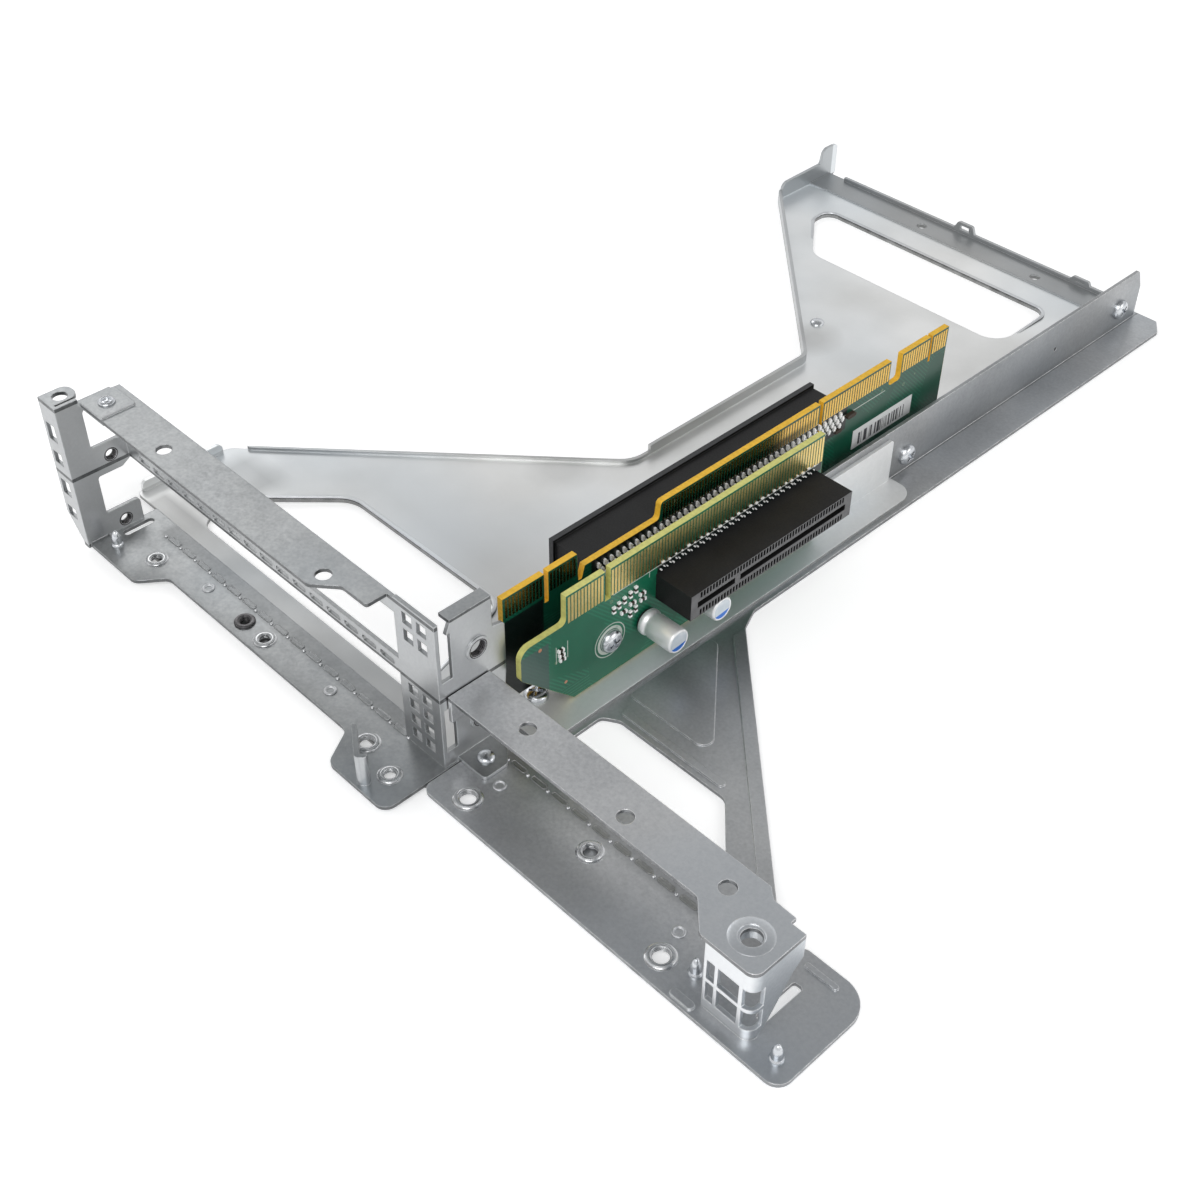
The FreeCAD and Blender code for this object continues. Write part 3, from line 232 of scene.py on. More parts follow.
class Effects:
    """Shader groups for effects that several finishes share; each is made once."""

    @staticmethod
    def start(name: str, takes: dict[str, float], *gives: str) -> tuple[Wiring, Ports, Ports]:
        """Start a group with named float inputs and outputs.

        Args:
            name: The group's name.
            takes: Input names with their usual values.
            gives: Output names; one called Normal is a vector.

        Returns:
            The wiring, what comes in and what goes out.
        """
        tree = bpy.data.node_groups.new(name, "ShaderNodeTree")
        for label, value in takes.items():
            socket = tree.interface.new_socket(name=label, in_out="INPUT", socket_type="NodeSocketFloat")
            socket.default_value = value
        for label in gives:
            kind = "NodeSocketVector" if label == "Normal" else "NodeSocketFloat"
            tree.interface.new_socket(name=label, in_out="OUTPUT", socket_type=kind)
        w = Wiring(tree)
        return w, w.add("NodeGroupInput").outputs, w.add("NodeGroupOutput").inputs

    @staticmethod
    @cache
    def spangle() -> Tree:
        """Zinc crystals: soft clouds, faint crystals and a fine speckle.

        Returns:
            The group; Tone is about 0.5 and Height is for the relief.
        """
        usual = {"Scale": 1300.0, "Speckle": 0.25, "Crystal": 0.15, "Cloud": 0.3}
        w, takes, gives = Effects.start("zinc_spangle", usual, "Tone", "Height")
        shade = w.cells(w.times(takes["Scale"], 0.45))[1][0]
        crystal = w.times(w.math("SUBTRACT", shade, 0.5), takes["Crystal"])
        fine = w.noise(w.place(), takes["Scale"], 4.0)
        speck = w.times(w.span(fine, 0.3, 0.7, -1.0, 1.0), takes["Speckle"])
        cloud = w.times(w.span(w.noise(w.place(), 38.0, 2.5), 0.3, 0.7, -1.0, 1.0), takes["Cloud"])
        w.put(gives["Tone"], w.plus(0.5, crystal, w.plus(speck, cloud)))
        w.put(gives["Height"], w.plus(fine, w.times(shade, 0.3)))
        return w.tree

    @staticmethod
    @cache
    def edge_wear() -> Tree:
        """Edges brightened: the mask for worn edges and for a painted highlight along them.

        Returns:
            The group; Mask marks the sharp edges and Normal is softly rounded.
        """
        w, takes, gives = Effects.start("edge_wear", {"Radius": 0.0004, "Amount": 0.6}, "Mask", "Normal")
        soft = w.add("ShaderNodeBevel", {"Radius": takes["Radius"]}, samples=4).outputs[0]
        flat = w.add("ShaderNodeNewGeometry").outputs["Normal"]
        facing = w.add("ShaderNodeVectorMath", {0: soft, 1: flat}, operation="DOT_PRODUCT").outputs["Value"]
        broken = w.span(w.noise(w.place(), 700.0), 0.25, 0.6)
        w.put(gives["Mask"], w.times(w.span(facing, 0.97, 0.8), w.times(broken, takes["Amount"])))
        w.put(gives["Normal"], soft)
        return w.tree

    @staticmethod
    @cache
    def handling() -> Tree:
        """Marks from handling.

        Returns:
            The group, with soft smudges and faint, stretched scuffs.
        """
        w, takes, gives = Effects.start("handling_marks", {"Amount": 0.5}, "Smudge", "Scuff")
        smudge = w.span(w.noise(w.place(), 26.0), 0.5, 0.72)
        keys = {"Vector": w.place(), "Rotation": (0.0, 0.0, 0.7), "Scale": (260.0, 30.0, 260.0)}
        stretched = w.add("ShaderNodeMapping", keys).outputs[0]
        w.put(gives["Smudge"], w.times(smudge, takes["Amount"]))
        w.put(gives["Scuff"], w.times(w.span(w.noise(stretched, 1.0), 0.62, 0.8), smudge, takes["Amount"]))
        return w.tree

    @staticmethod
    @cache
    def dust() -> Tree:
        """Dust that settles on faces that look up.

        Returns:
            The group, with the dust's mask.
        """
        w, takes, gives = Effects.start("settled_dust", {"Amount": 0.2}, "Mask")
        up = w.span(w.parts(w.place("Normal"))[2], 0.3, 0.95)
        patch = w.span(w.noise(w.place(), 120.0, 2.0), 0.35, 0.75)
        w.put(gives["Mask"], w.times(up, patch, takes["Amount"]))
        return w.tree


# Finishes


@dataclass(frozen=True)
class Coat:
    """What a finish hands to the shader; depth is the relief's, in millimetres."""

    colour: Socket
    rough: Socket
    height: Socket | None = None
    strength: float = 0.0
    depth: float = 0.02
    normal: Socket | None = None
    metal: float = 0.0
    shine: float = 0.5


@dataclass(frozen=True)
class Finish:
    """What every finish shares: its name and how its coat reaches the shader."""

    name: str

    def coat(self, w: Wiring) -> Coat:
        """Wire up what the shader needs."""
        raise NotImplementedError

    def material(self) -> Material:
        """Give the finish's material, which is built at the first call.

        Returns:
            The material.
        """
        if self.name in bpy.data.materials:
            return bpy.data.materials[self.name]
        material = bpy.data.materials.new(self.name)
        material.use_nodes = True
        material.node_tree.nodes.clear()
        w = Wiring(material.node_tree)
        coat = self.coat(w)
        keys = {"Base Color": coat.colour, "Roughness": coat.rough, "Metallic": coat.metal,
                "Specular IOR Level": coat.shine}
        if coat.height is not None:
            bump = {"Strength": coat.strength, "Distance": coat.depth * MM, "Height": coat.height}
            if coat.normal is not None:
                bump["Normal"] = coat.normal
            keys["Normal"] = w.add("ShaderNodeBump", bump).outputs[0]
        shader = w.add("ShaderNodeBsdfPrincipled", keys)
        w.add("ShaderNodeOutputMaterial", {"Surface": shader.outputs[0]})
        return material

    def group(self, w: Wiring, tree: Tree, **values: float) -> Ports:
        """Place a shared effect with its own values and give its outputs."""
        keys = {key.title(): value for key, value in values.items()}
        return w.add("ShaderNodeGroup", keys, node_tree=tree).outputs


@dataclass(frozen=True)
class SheetFinish(Finish):
    """Galvanised sheet steel; where the sheet is cut through, its thin edge is painted darker as shade.

    Levels, boxes and spots are in millimetres. A shaded box of painted shade is (low corner, high corner,
    brightness left, softness of its sides) and a dark spot of painted reflection is (x, y, reach, amount).
    """

    pale: Colour
    dark: Colour
    gloss: float = 0.3
    grain: float = 1300.0
    speckle: float = 0.25
    crystal: float = 0.15
    cloud: float = 0.3
    wear_and_highlight: float = 0.8
    metal: float = 0.9
    relief: float = 0.1
    dust: float = 0.06
    cut_levels: tuple[tuple[float, float], ...] = ()
    cut_shade: float = 0.42
    scuffs: float = 0.5
    # Painted light: front and side lift the faces that look forward (-Y) or aside (+X) towards lit_front.
    # Painted shade: the shaded boxes darken towards deep_shade.
    front: float = 0.0
    side: float = 0.0
    shaded: tuple[tuple[Point, Point, float, float], ...] = ()
    painted_reflection_spots: tuple[Box, ...] = ()
    lit_front: Colour = (0.94, 0.95, 0.96)
    deep_shade: Colour = (0.02, 0.021, 0.022)
    dust_grey: Colour = (0.62, 0.61, 0.58)
    sharp_in_height: float = 0.15

    def marks_and_painted_reflection(self, w: Wiring, colour: Socket) -> Socket:
        """Add cool clouds, handling marks and dark spots of painted reflection.

        Args:
            w: The material's wiring.
            colour: The colour so far.

        Returns:
            The new colour.
        """
        marks = self.group(w, Effects.handling(), amount=self.scuffs)
        cool = w.span(w.noise(w.place(), 14.0, 1.5), 0.45, 0.65, 0.0, 0.5)
        colour = w.mix(cool, colour, tuple(c * k for c, k in zip(self.pale, (0.86, 0.93, 1.0))))
        colour = w.mix(w.times(marks["Smudge"], 0.22), colour, tint(self.dark, 0.85))
        colour = w.mix(w.times(marks["Scuff"], 0.5), colour, tint(self.pale, 1.2))
        # Dark spots of painted reflection: board A's end mirrored in the sheet.
        for x, y, reach, amount in self.painted_reflection_spots:
            uneven = w.times(w.noise(w.place(), 60.0), reach * MM * 0.6)
            ragged = w.plus(w.away(w.place(), (x, y, 0.0)), uneven)
            spot = w.span(ragged, reach * 1.2 * MM, reach * 0.6 * MM, 0.0, amount)
            colour = w.mix(spot, colour, tint(self.dark, 0.62))
        return colour

    def shading(self, w: Wiring, colour: Socket) -> Socket:
        """Paint light onto the faces that look forward or aside, and paint shade into the shaded boxes.

        Args:
            w: The material's wiring.
            colour: The colour so far.

        Returns:
            The new colour.
        """
        across, ahead, _ = w.parts(w.place("Normal"))
        forward = w.span(ahead, -0.3, -0.9, 0.0, self.front)
        aside = w.span(across, 0.3, 0.9, 0.0, self.side)
        colour = w.mix(w.math("MAXIMUM", forward, aside), colour, self.lit_front)
        place = w.parts(w.place())
        for low, high, factor, soft in self.shaded:
            blurs = (soft, soft, min(soft, self.sharp_in_height))
            inside = w.times(*(w.plateau(*four) for four in zip(place, low, high, blurs)))
            colour = w.mix(inside, colour, w.mix(1.0 - factor, colour, self.deep_shade))
        return colour

    def cut_edges(self, w: Wiring) -> Socket:
        """Find the sheet's cut edges from the levels at which the sheets lie.

        Args:
            w: The material's wiring.

        Returns:
            The mask of the cut edges, a little broken.
        """
        height = w.parts(w.place())[2]
        upright = w.under(w.math("ABSOLUTE", w.parts(w.place("Normal"))[2]), 0.5)
        found = [w.within(height, low, high) for low, high in self.cut_levels]
        level = reduce(lambda a, b: w.math("MAXIMUM", a, b), found)
        return w.times(upright, level, w.span(w.noise(w.place(), 300.0), 0.2, 0.7, 0.7, 1.0))

    def coat(self, w: Wiring) -> Coat:
        """Wire up the sheet.

        Args:
            w: The material's wiring.

        Returns:
            The sheet's coat.
        """
        zinc = self.group(w, Effects.spangle(), scale=self.grain, speckle=self.speckle, crystal=self.crystal,
                          cloud=self.cloud)
        wear_and_highlight = self.group(w, Effects.edge_wear(), radius=0.32 * MM, amount=self.wear_and_highlight)
        marks = self.group(w, Effects.handling(), amount=self.scuffs)
        dust = self.group(w, Effects.dust(), amount=self.dust)
        tone = w.span(zinc["Tone"], 0.0, 1.0)
        colour = self.shading(w, self.marks_and_painted_reflection(w, w.mix(tone, self.dark, self.pale)))
        # Painted shade on the thin upright cut edges.
        if self.cut_levels:
            colour = w.mix(self.cut_edges(w), colour, tint(self.dark, self.cut_shade))
        # Painted highlight along the sharp edges, together with their worn look.
        colour = w.mix(wear_and_highlight["Mask"], colour, tint(self.pale, 1.7, 0.95))
        colour = w.mix(dust["Mask"], colour, self.dust_grey)
        rough = w.span(tone, 0.0, 1.0, self.gloss + 0.08, self.gloss - 0.04)
        rough = w.plus(rough, w.times(marks["Smudge"], 0.12))
        return Coat(colour, rough, zinc["Height"], self.relief, 0.04, wear_and_highlight["Normal"], self.metal)


@dataclass(frozen=True)
class BoardFinish(Finish):
    """Green solder mask with traces, plated holes and printed lines; the cut edges show the laminate.

    Boxes are (low y, low z, high y, high z) on the board's outer face, rings are (y, z, inner, outer radius)
    and dots are (y, z, radius), in millimetres.
    """

    mask: Colour
    trace: Colour
    edge: Colour
    painted_shadow_boxes: tuple[Box, ...] = ()
    bare_boxes: tuple[Box, ...] = ()
    print_boxes: tuple[Box, ...] = ()
    copper_dots: tuple[tuple[float, float, float], ...] = ()
    rings: tuple[Box, ...] = ()
    plated: Colour = (0.2, 0.27, 0.16)
    shadow: Colour = (0.004, 0.008, 0.007)
    bare: Colour = (0.045, 0.085, 0.075)
    ink: Colour = (0.62, 0.66, 0.6)
    copper: Colour = (0.5, 0.22, 0.12)

    @staticmethod
    def boxes(w: Wiring, y: Socket, z: Socket, boxes: tuple[Box, ...]) -> Socket | float:
        """Mark a few boxes on the face.

        Args:
            w: The material's wiring.
            y: The place along the board.
            z: The height on the board.
            boxes: The boxes.

        Returns:
            Their mask.
        """
        found = 0.0
        for low_y, low_z, high_y, high_z in boxes:
            inside = w.times(w.within(y, low_y, high_y), w.within(z, low_z, high_z))
            found = w.math("MAXIMUM", found, inside)
        return found

    def traces(self, w: Wiring, y: Socket, z: Socket) -> Socket:
        """Mark the traces under the solder mask, level in some patches and slanted in others.

        Args:
            w: The material's wiring.
            y: The place along the board.
            z: The height on the board.

        Returns:
            Their mask.
        """
        choice = w.cells(75.0)[1][0]
        level = w.under(w.math("FRACT", w.math("DIVIDE", z, 0.9 * MM)), 0.38)
        slanted = w.under(w.math("FRACT", w.math("DIVIDE", w.plus(y, z), 1.2 * MM)), 0.4)
        pick = w.over(choice, 0.6)
        both = w.plus(w.times(level, w.math("SUBTRACT", 1.0, pick)), w.times(slanted, pick))
        return w.times(both, w.over(choice, 0.35))

    def printed(self, w: Wiring, y: Socket, z: Socket, front: Socket, colour: Socket) -> Socket:
        """Add the shadowed and bare boxes, the printed lines and rings, and the bare copper dots.

        Args:
            w: The material's wiring.
            y: The place along the board.
            z: The height on the board.
            front: The mask of the outer face.
            colour: The colour so far.

        Returns:
            The new colour.
        """
        flat = w.add("ShaderNodeCombineXYZ", {"X": y, "Y": z}).outputs[0]
        # Painted shadow: near-black boxes where shade falls between the boards and under the short slot's
        # fingers.
        colour = w.mix(w.times(front, self.boxes(w, y, z, self.painted_shadow_boxes)), colour, self.shadow)
        colour = w.mix(w.times(front, self.boxes(w, y, z, self.bare_boxes), 0.85), colour, self.bare)
        ink = self.boxes(w, y, z, self.print_boxes)
        for spot_y, spot_z, low, high in self.rings:
            ink = w.math("MAXIMUM", ink, w.within(w.away(flat, (spot_y, spot_z, 0.0)), low, high))
        worn = w.span(w.noise(w.place(), 260.0), 0.25, 0.4, 0.4, 1.0)
        colour = w.mix(w.times(front, ink, worn, 0.8), colour, self.ink)
        for spot_y, spot_z, reach in self.copper_dots:
            dot = w.under(w.away(flat, (spot_y, spot_z, 0.0)), reach * MM)
            colour = w.mix(w.times(front, dot), colour, self.copper)
        return colour

    def coat(self, w: Wiring) -> Coat:
        """Wire up the board.

        Args:
            w: The material's wiring.

        Returns:
            The board's coat.
        """
        _, y, z = w.parts(w.place())
        outward = w.parts(w.place("Normal"))[0]
        side = w.under(w.math("ABSOLUTE", outward), 0.5)
        traces = self.traces(w, y, z)
        far, channels = w.cells(230.0)
        ring = w.times(w.under(far, 0.12), w.over(far, 0.05), w.over(channels[1], 0.6))
        colour = w.mix(w.times(traces, 0.6), w.patchy(60.0, tint(self.mask, 0.7), self.mask), self.trace)
        colour = w.mix(w.times(ring, 0.5), colour, self.plated)
        colour = self.printed(w, y, z, w.over(outward, 0.5), colour)
        wear_and_highlight = self.group(w, Effects.edge_wear(), radius=0.25 * MM, amount=0.5)
        laminate = w.patchy(900.0, tint(self.edge, 0.82), self.edge, 0.15)
        colour = w.mix(side, w.mix(wear_and_highlight["Mask"], colour, self.edge), laminate)
        rough = w.span(side, 0.0, 1.0, 0.28, 0.6)
        return Coat(colour, rough, w.plus(w.times(traces, 0.6), ring), 0.35, 0.04)


@dataclass(frozen=True)
class PlasticFinish(Finish):
    """Moulded plastic with a fine grain and greyed edges, worn and with a painted highlight; the faces beyond a
    level along X can be paler, as painted light.
    """

    colour: Colour
    gloss: float = 0.5
    shine: float = 0.28
    pale: Colour = (0.085, 0.087, 0.092)
    painted_light_above: float | None = None
    painted_light_below: float | None = None
    rubbed_and_highlight: Colour = (0.10, 0.102, 0.107)
    dust_grey: Colour = (0.3, 0.3, 0.29)

    def coat(self, w: Wiring) -> Coat:
        """Wire up the plastic.

        Args:
            w: The material's wiring.

        Returns:
            The plastic's coat.
        """
        grain = w.noise(w.place(), 2600.0)
        along = w.parts(w.place())[0]
        lit = w.span(w.noise(w.place(), 420.0), 0.3, 0.7, 0.7, 1.0)
        wear_and_highlight = self.group(w, Effects.edge_wear(), radius=0.22 * MM, amount=0.45)
        dust = self.group(w, Effects.dust(), amount=0.015)
        colour = w.patchy(90.0, tint(self.colour, 0.7), self.colour)
        # Painted light: a paler colour on the part beyond a level along X.
        if self.painted_light_above is not None:
            colour = w.mix(w.times(w.over(along, self.painted_light_above * MM), lit), colour, self.pale)
        if self.painted_light_below is not None:
            colour = w.mix(w.times(w.under(along, self.painted_light_below * MM), lit), colour, self.pale)
        # Greyer edges: worn edges and a painted highlight.
        colour = w.mix(wear_and_highlight["Mask"], colour, self.rubbed_and_highlight)
        colour = w.mix(dust["Mask"], colour, self.dust_grey)
        rough = w.span(grain, 0.3, 0.7, self.gloss - 0.05, self.gloss + 0.12)
        return Coat(colour, rough, grain, 0.25, 0.03, wear_and_highlight["Normal"], shine=self.shine)


@dataclass(frozen=True)
class LabelFinish(Finish):
    """White label stock with a plain row of upright bars."""

    paper: Colour = (0.74, 0.75, 0.75)
    ink: Colour = (0.06, 0.06, 0.065)
    bars: Box = (141.6, 15.0, 161.4, 18.6)
    bar_step: float = 0.21
    blank_share: float = 0.42

    def coat(self, w: Wiring) -> Coat:
        """Wire up the label.

        Args:
            w: The material's wiring.

        Returns:
            The label's coat.
        """
        _, y, z = w.parts(w.place())
        step = w.math("FLOOR", w.math("DIVIDE", y, self.bar_step * MM))
        chance = w.add("ShaderNodeTexWhiteNoise", {"W": step}, noise_dimensions="1D").outputs["Value"]
        bar = w.times(BoardFinish.boxes(w, y, z, (self.bars,)), w.over(chance, self.blank_share))
        colour = w.mix(bar, w.patchy(200.0, tint(self.paper, 0.88), self.paper), self.ink)
        grain = w.noise(w.place(), 1800.0)
        return Coat(colour, w.span(grain, 0.3, 0.7, 0.45, 0.6), grain, 0.2)


@dataclass(frozen=True)
class CanEndFinish(Finish):
    """The printed end of a can: pale, with a blue segment low on the disc.

    The two cans lie on a line, so their middles' heights follow from the place along Y.
    """

    first_y: float = 57.5
    first_z: float = 12.5
    rise: float = 1.0 / 14.4
    blue_below: float = -1.35
    blue: Colour = (0.02, 0.16, 0.62)

    def coat(self, w: Wiring) -> Coat:
        """Wire up the can's end.

        Args:
            w: The material's wiring.

        Returns:
            The end's coat.
        """
        _, y, z = w.parts(w.place())
        middle = w.plus(self.first_z * MM, w.times(w.math("SUBTRACT", y, self.first_y * MM), self.rise))
        uneven = w.times(w.noise(w.place(), 300.0, 1.0), 0.3 * MM)
        below = w.math("SUBTRACT", w.math("SUBTRACT", z, middle), uneven)
        tone = w.span(w.noise(w.place(), 500.0), 0.3, 0.7)
        pale = w.mix(tone, (0.55, 0.62, 0.68), (0.72, 0.76, 0.8))
        colour = w.mix(w.under(below, self.blue_below * MM), pale, self.blue)
        return Coat(colour, w.span(tone, 0.0, 1.0, 0.3, 0.42), metal=0.35)


@dataclass(frozen=True)
class PlatedFinish(Finish):
    """Smooth plated metal: nickel, gold or tin, with faint machining lines.

    A painted shadow stretch is (first y, last y, brightness left) and a painted shade ramp, darker towards
    its low z, is (low z, high z, amount, first y, last y), in millimetres.
    """

    colour: Colour
    shade: Colour
    gloss: float = 0.25
    metal: float = 1.0
    painted_shadow_stretch: tuple[float, float, float] | None = None
    painted_shade_ramp: tuple[float, float, float, float, float] | None = None
    relief: float = 0.15
    edge: float = 0.15

    def coat(self, w: Wiring) -> Coat:
        """Wire up the plating.

        Args:
            w: The material's wiring.

        Returns:
            The plating's coat.
        """
        _, y, z = w.parts(w.place())
        fine = w.noise(w.place(), 3200.0, 2.0)
        wear_and_highlight = self.group(w, Effects.edge_wear(), radius=self.edge * MM, amount=0.4)
        colour = w.mix(w.span(w.noise(w.place(), 420.0, 4.0), 0.3, 0.7), self.shade, self.colour)
        # Painted shadow over a stretch of the fingers along Y.
        if self.painted_shadow_stretch:
            first, last, left = self.painted_shadow_stretch
            colour = w.mix(w.plateau(y, first, last, 3.0), colour, tint(self.shade, left))
        # Painted shade: darker towards the fingers' low ends, in the slot.
        if self.painted_shade_ramp:
            low, high, amount, first, last = self.painted_shade_ramp
            sunk = w.times(w.plateau(y, first, last, 6.0), w.span(z, high * MM, low * MM, 0.0, amount))
            colour = w.mix(sunk, colour, tint(self.shade, 0.1))
        # Brighter edges: worn edges and a painted highlight.
        colour = w.mix(wear_and_highlight["Mask"], colour, tint(self.colour, 1.3))
        rough = w.span(fine, 0.3, 0.7, self.gloss, self.gloss + 0.12)
        return Coat(colour, rough, fine, self.relief, 0.02, wear_and_highlight["Normal"], self.metal)


# Making meshes


class Workshop:
    """Turns meshes and node trees into finished pieces on the frame."""

    @staticmethod
    def show(name: str, data: bpy.types.ID | None) -> bpy.types.Object:
        """Put a new object into the scene."""
        bpy.context.scene.collection.objects.link(item := bpy.data.objects.new(name, data))
        return item

    @staticmethod
    def piece(name: str, mesh: Mesh | Build | list[Mesh], finish: Finish, slot: Slot, node: str = "",
              smooth: bool = True) -> None:
        """Put a mesh into the scene as a piece that rides on the root body.

        Args:
            name: The piece's name.
            mesh: Its mesh, already in place, the meshes that it joins or the bmesh that it is closed from.
            finish: Its finish.
            slot: The record's slot that the finish belongs to; not used.
            node: The CAD node that the piece stands for, if any.
            smooth: Whether gentle angles are shaded smooth.
        """
        if isinstance(mesh, list):
            mesh = Workshop.joined(name, mesh)
        elif not isinstance(mesh, Mesh):
            mesh = Workshop.mesh(name, mesh)
        item = Workshop.show(name, mesh)
        mesh.materials.clear()
        mesh.materials.append(finish.material())
        if smooth:
            mesh.shade_smooth()
            mesh.set_sharp_from_angle(angle=math.radians(SHARP_ANGLE))
        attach(item, "root")
        if node:
            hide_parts(node)
        log.info("%s has %d faces", name, len(mesh.polygons))

    @staticmethod
    def dress(node: str, finish: Finish) -> None:
        """Give a carried CAD node its finish.

        Args:
            node: The node's name.
            finish: The finish.
        """
        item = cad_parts[node]
        if not item.material_slots:
            item.data.materials.append(finish.material())
        for place in item.material_slots:
            place.material = finish.material()
        log.info("%s is dressed", node)

    @staticmethod
    def mesh(name: str, build: Build) -> Mesh:
        """Close a bmesh into a mesh with its faces turned outwards.

        Args:
            name: The mesh's name.
            build: The bmesh, which is freed.

        Returns:
            The mesh.
        """
        bmesh.ops.remove_doubles(build, verts=build.verts, dist=WELD)
        bmesh.ops.recalc_face_normals(build, faces=build.faces)
        return Workshop.kept(name, build)

    @staticmethod
    def kept(name: str, build: Build) -> Mesh:
        """Turn a bmesh into a mesh as it is.

        Args:
            name: The mesh's name.
            build: The bmesh, which is freed.

        Returns:
            The mesh.
        """
        mesh = bpy.data.meshes.new(name)
        build.to_mesh(mesh)
        build.free()
        return mesh

    @staticmethod
    def joined(name: str, meshes: list[Mesh]) -> Mesh:
        """Join meshes into one.

        Args:
            name: The new mesh's name.
            meshes: The meshes.

        Returns:
            The joined mesh.
        """
        build = bmesh.new()
        for mesh in meshes:
            build.from_mesh(mesh)
        return Workshop.kept(name, build)

    @staticmethod
    def circle(radius: float, steps: int) -> Outline:
        """Give the points of a circle; a radius of 0 gives the one point."""
        turns = [math.tau * k / steps for k in range(steps if radius else 1)]
        return [(radius * math.cos(turn), radius * math.sin(turn)) for turn in turns]

    @staticmethod
    def stadium(length: float, width: float, steps: int = 6) -> Outline:
        """Give the outline of a long shape with round ends.

        Args:
            length: Its whole length.
            width: Its width.
            steps: How many faces a round end has.

        Returns:
            The outline.
        """
        half, r = length / 2 - width / 2, width / 2
        turns = [math.pi * k / steps for k in range(steps + 1)]
        right = [(half + r * math.sin(turn), -r * math.cos(turn)) for turn in turns]
        return right + [(-u, -v) for u, v in right]

    @staticmethod
    def bridge(build: Build, rings: list[Ring]) -> None:
        """Join each ring of corners to the next with faces.

        Args:
            build: The bmesh that takes them.
            rings: The rings, all of one length, or of a single corner where they meet the axis.
        """
        for low, high in zip(rings, rings[1:]):
            count = max(len(low), len(high))
            for k in range(count):
                n = (k + 1) % count
                corners = (low[k % len(low)], low[n % len(low)], high[n % len(high)], high[k % len(high)])
                build.faces.new(list(dict.fromkeys(corners)))

    @staticmethod
    def rings(build: Build, outlines: Levels, axis: Axis = Axis.Z, spot: Point = (0, 0, 0)) -> list[Ring]:
        """Set the corners of outlines at their heights.

        Args:
            build: The bmesh that takes them.
            outlines: The outlines, each with its height, in millimetres.
            axis: The axis of the heights.
            spot: Where the outlines' origin lies, in millimetres.

        Returns:
            The rings of corners.
        """
        shift = Vector(spot) * MM
        return [[build.verts.new(axis.point(u, v, height) + shift) for u, v in outline]
                for outline, height in outlines]

    @classmethod
    def lathe(cls, name: str, profile: Outline, steps: int = 28) -> Mesh:
        """Turn a profile about Z, from axis to axis.

        Args:
            name: The mesh's name.
            profile: Its points as (radius, height) in millimetres; the ends lie on the axis.
            steps: How many sides the turned piece has.

        Returns:
            The closed mesh.
        """
        build = bmesh.new()
        cls.bridge(build, cls.rings(build, [(cls.circle(r, steps), height) for r, height in profile]))
        return cls.mesh(name, build)

    @classmethod
    def ring(cls, build: Build, spot: Point, profile: Outline, axis: Axis = Axis.Z, steps: int = 24) -> None:
        """Add a closed ring turned about an axis through a spot.

        Args:
            build: The bmesh that takes it.
            spot: The ring's middle, in millimetres.
            profile: The loop's points as (radius, height), in millimetres.
            axis: The axis.
            steps: How many sides the ring has.
        """
        hoops = cls.rings(build, [(cls.circle(r, steps), height) for r, height in profile], axis, spot)
        cls.bridge(build, hoops + hoops[:1])

    @classmethod
    def stack(cls, build: Build, outlines: Levels, axis: Axis = Axis.Z) -> None:
        """Add a solid that runs through outlines at their heights.

        Args:
            build: The bmesh that takes it.
            outlines: The outlines, each with its height, in millimetres.
            axis: The axis of the heights.
        """
        rings = cls.rings(build, outlines, axis)
        build.faces.new(rings[0][::-1])
        build.faces.new(rings[-1])
        cls.bridge(build, rings)

    @staticmethod
    def box(build: Build, low: Point, high: Point, bevel: float) -> None:
        """Add a box with bevelled edges.

        Args:
            build: The bmesh that takes it.
            low: Its low corner, in millimetres.
            high: Its high corner, in millimetres.
            bevel: The width of the bevel, in millimetres.
        """
        made = bmesh.ops.create_cube(build, size=1.0)["verts"]
        for v in made:
            for k in range(3):
                v.co[k] = (low[k] + (v.co[k] + 0.5) * (high[k] - low[k])) * MM
        edges = list({e for v in made for e in v.link_edges})
        bmesh.ops.bevel(build, geom=edges, offset=bevel * MM, segments=2, affect="EDGES", profile=0.5)

    @staticmethod
    def cut(body: Mesh, tool: Mesh) -> Mesh:
        """Cut a tool's shape out of a body.

        Args:
            body: The body.
            tool: What is cut away.

        Returns:
            What is left.
        """
        host, cutter = Workshop.show("host", body), Workshop.show("cutter", tool)
        cutting = host.modifiers.new("cut", "BOOLEAN")
        cutting.object, cutting.use_self = cutter, True
        cutting.operation, cutting.solver = "DIFFERENCE", "EXACT"
        made = bpy.data.meshes.new_from_object(host.evaluated_get(bpy.context.evaluated_depsgraph_get()))
        for item in (host, cutter):
            bpy.data.objects.remove(item)
        return made

    @staticmethod
    def start_tree(name: str, takes: str) -> tuple[Wiring, Ports]:
        """Start a geometry tree.

        Args:
            name: The tree's name.
            takes: Its inputs, each as its name and kind with a colon between them.

        Returns:
            The wiring and what comes in.
        """
        tree = bpy.data.node_groups.new(name, "GeometryNodeTree")
        for label, kind in (words.split(":") for words in takes.split()):
            tree.interface.new_socket(name=label, in_out="INPUT", socket_type="NodeSocket" + kind)
        tree.interface.new_socket(name="Geometry", in_out="OUTPUT", socket_type="NodeSocketGeometry")
        w = Wiring(tree)
        return w, w.add("NodeGroupInput").outputs

    @staticmethod
    def end_tree(w: Wiring, takes: Ports, points: Socket, copies: dict) -> Tree:
        """Set copies on points, make them plain, give them their finish and close the tree.

        Args:
            w: The tree's wiring.
            takes: What comes in.
            points: The points.
            copies: What is set on them and how.

        Returns:
            The tree.
        """
        placed = w.add("GeometryNodeInstanceOnPoints", {"Points": points, **copies}).outputs[0]
        plain = w.add("GeometryNodeRealizeInstances", {"Geometry": placed}).outputs[0]
        dressed = w.add("GeometryNodeSetMaterial", {"Geometry": plain, "Material": takes["Finish"]}).outputs[0]
        w.add("NodeGroupOutput", {"Geometry": dressed})
        return w.tree

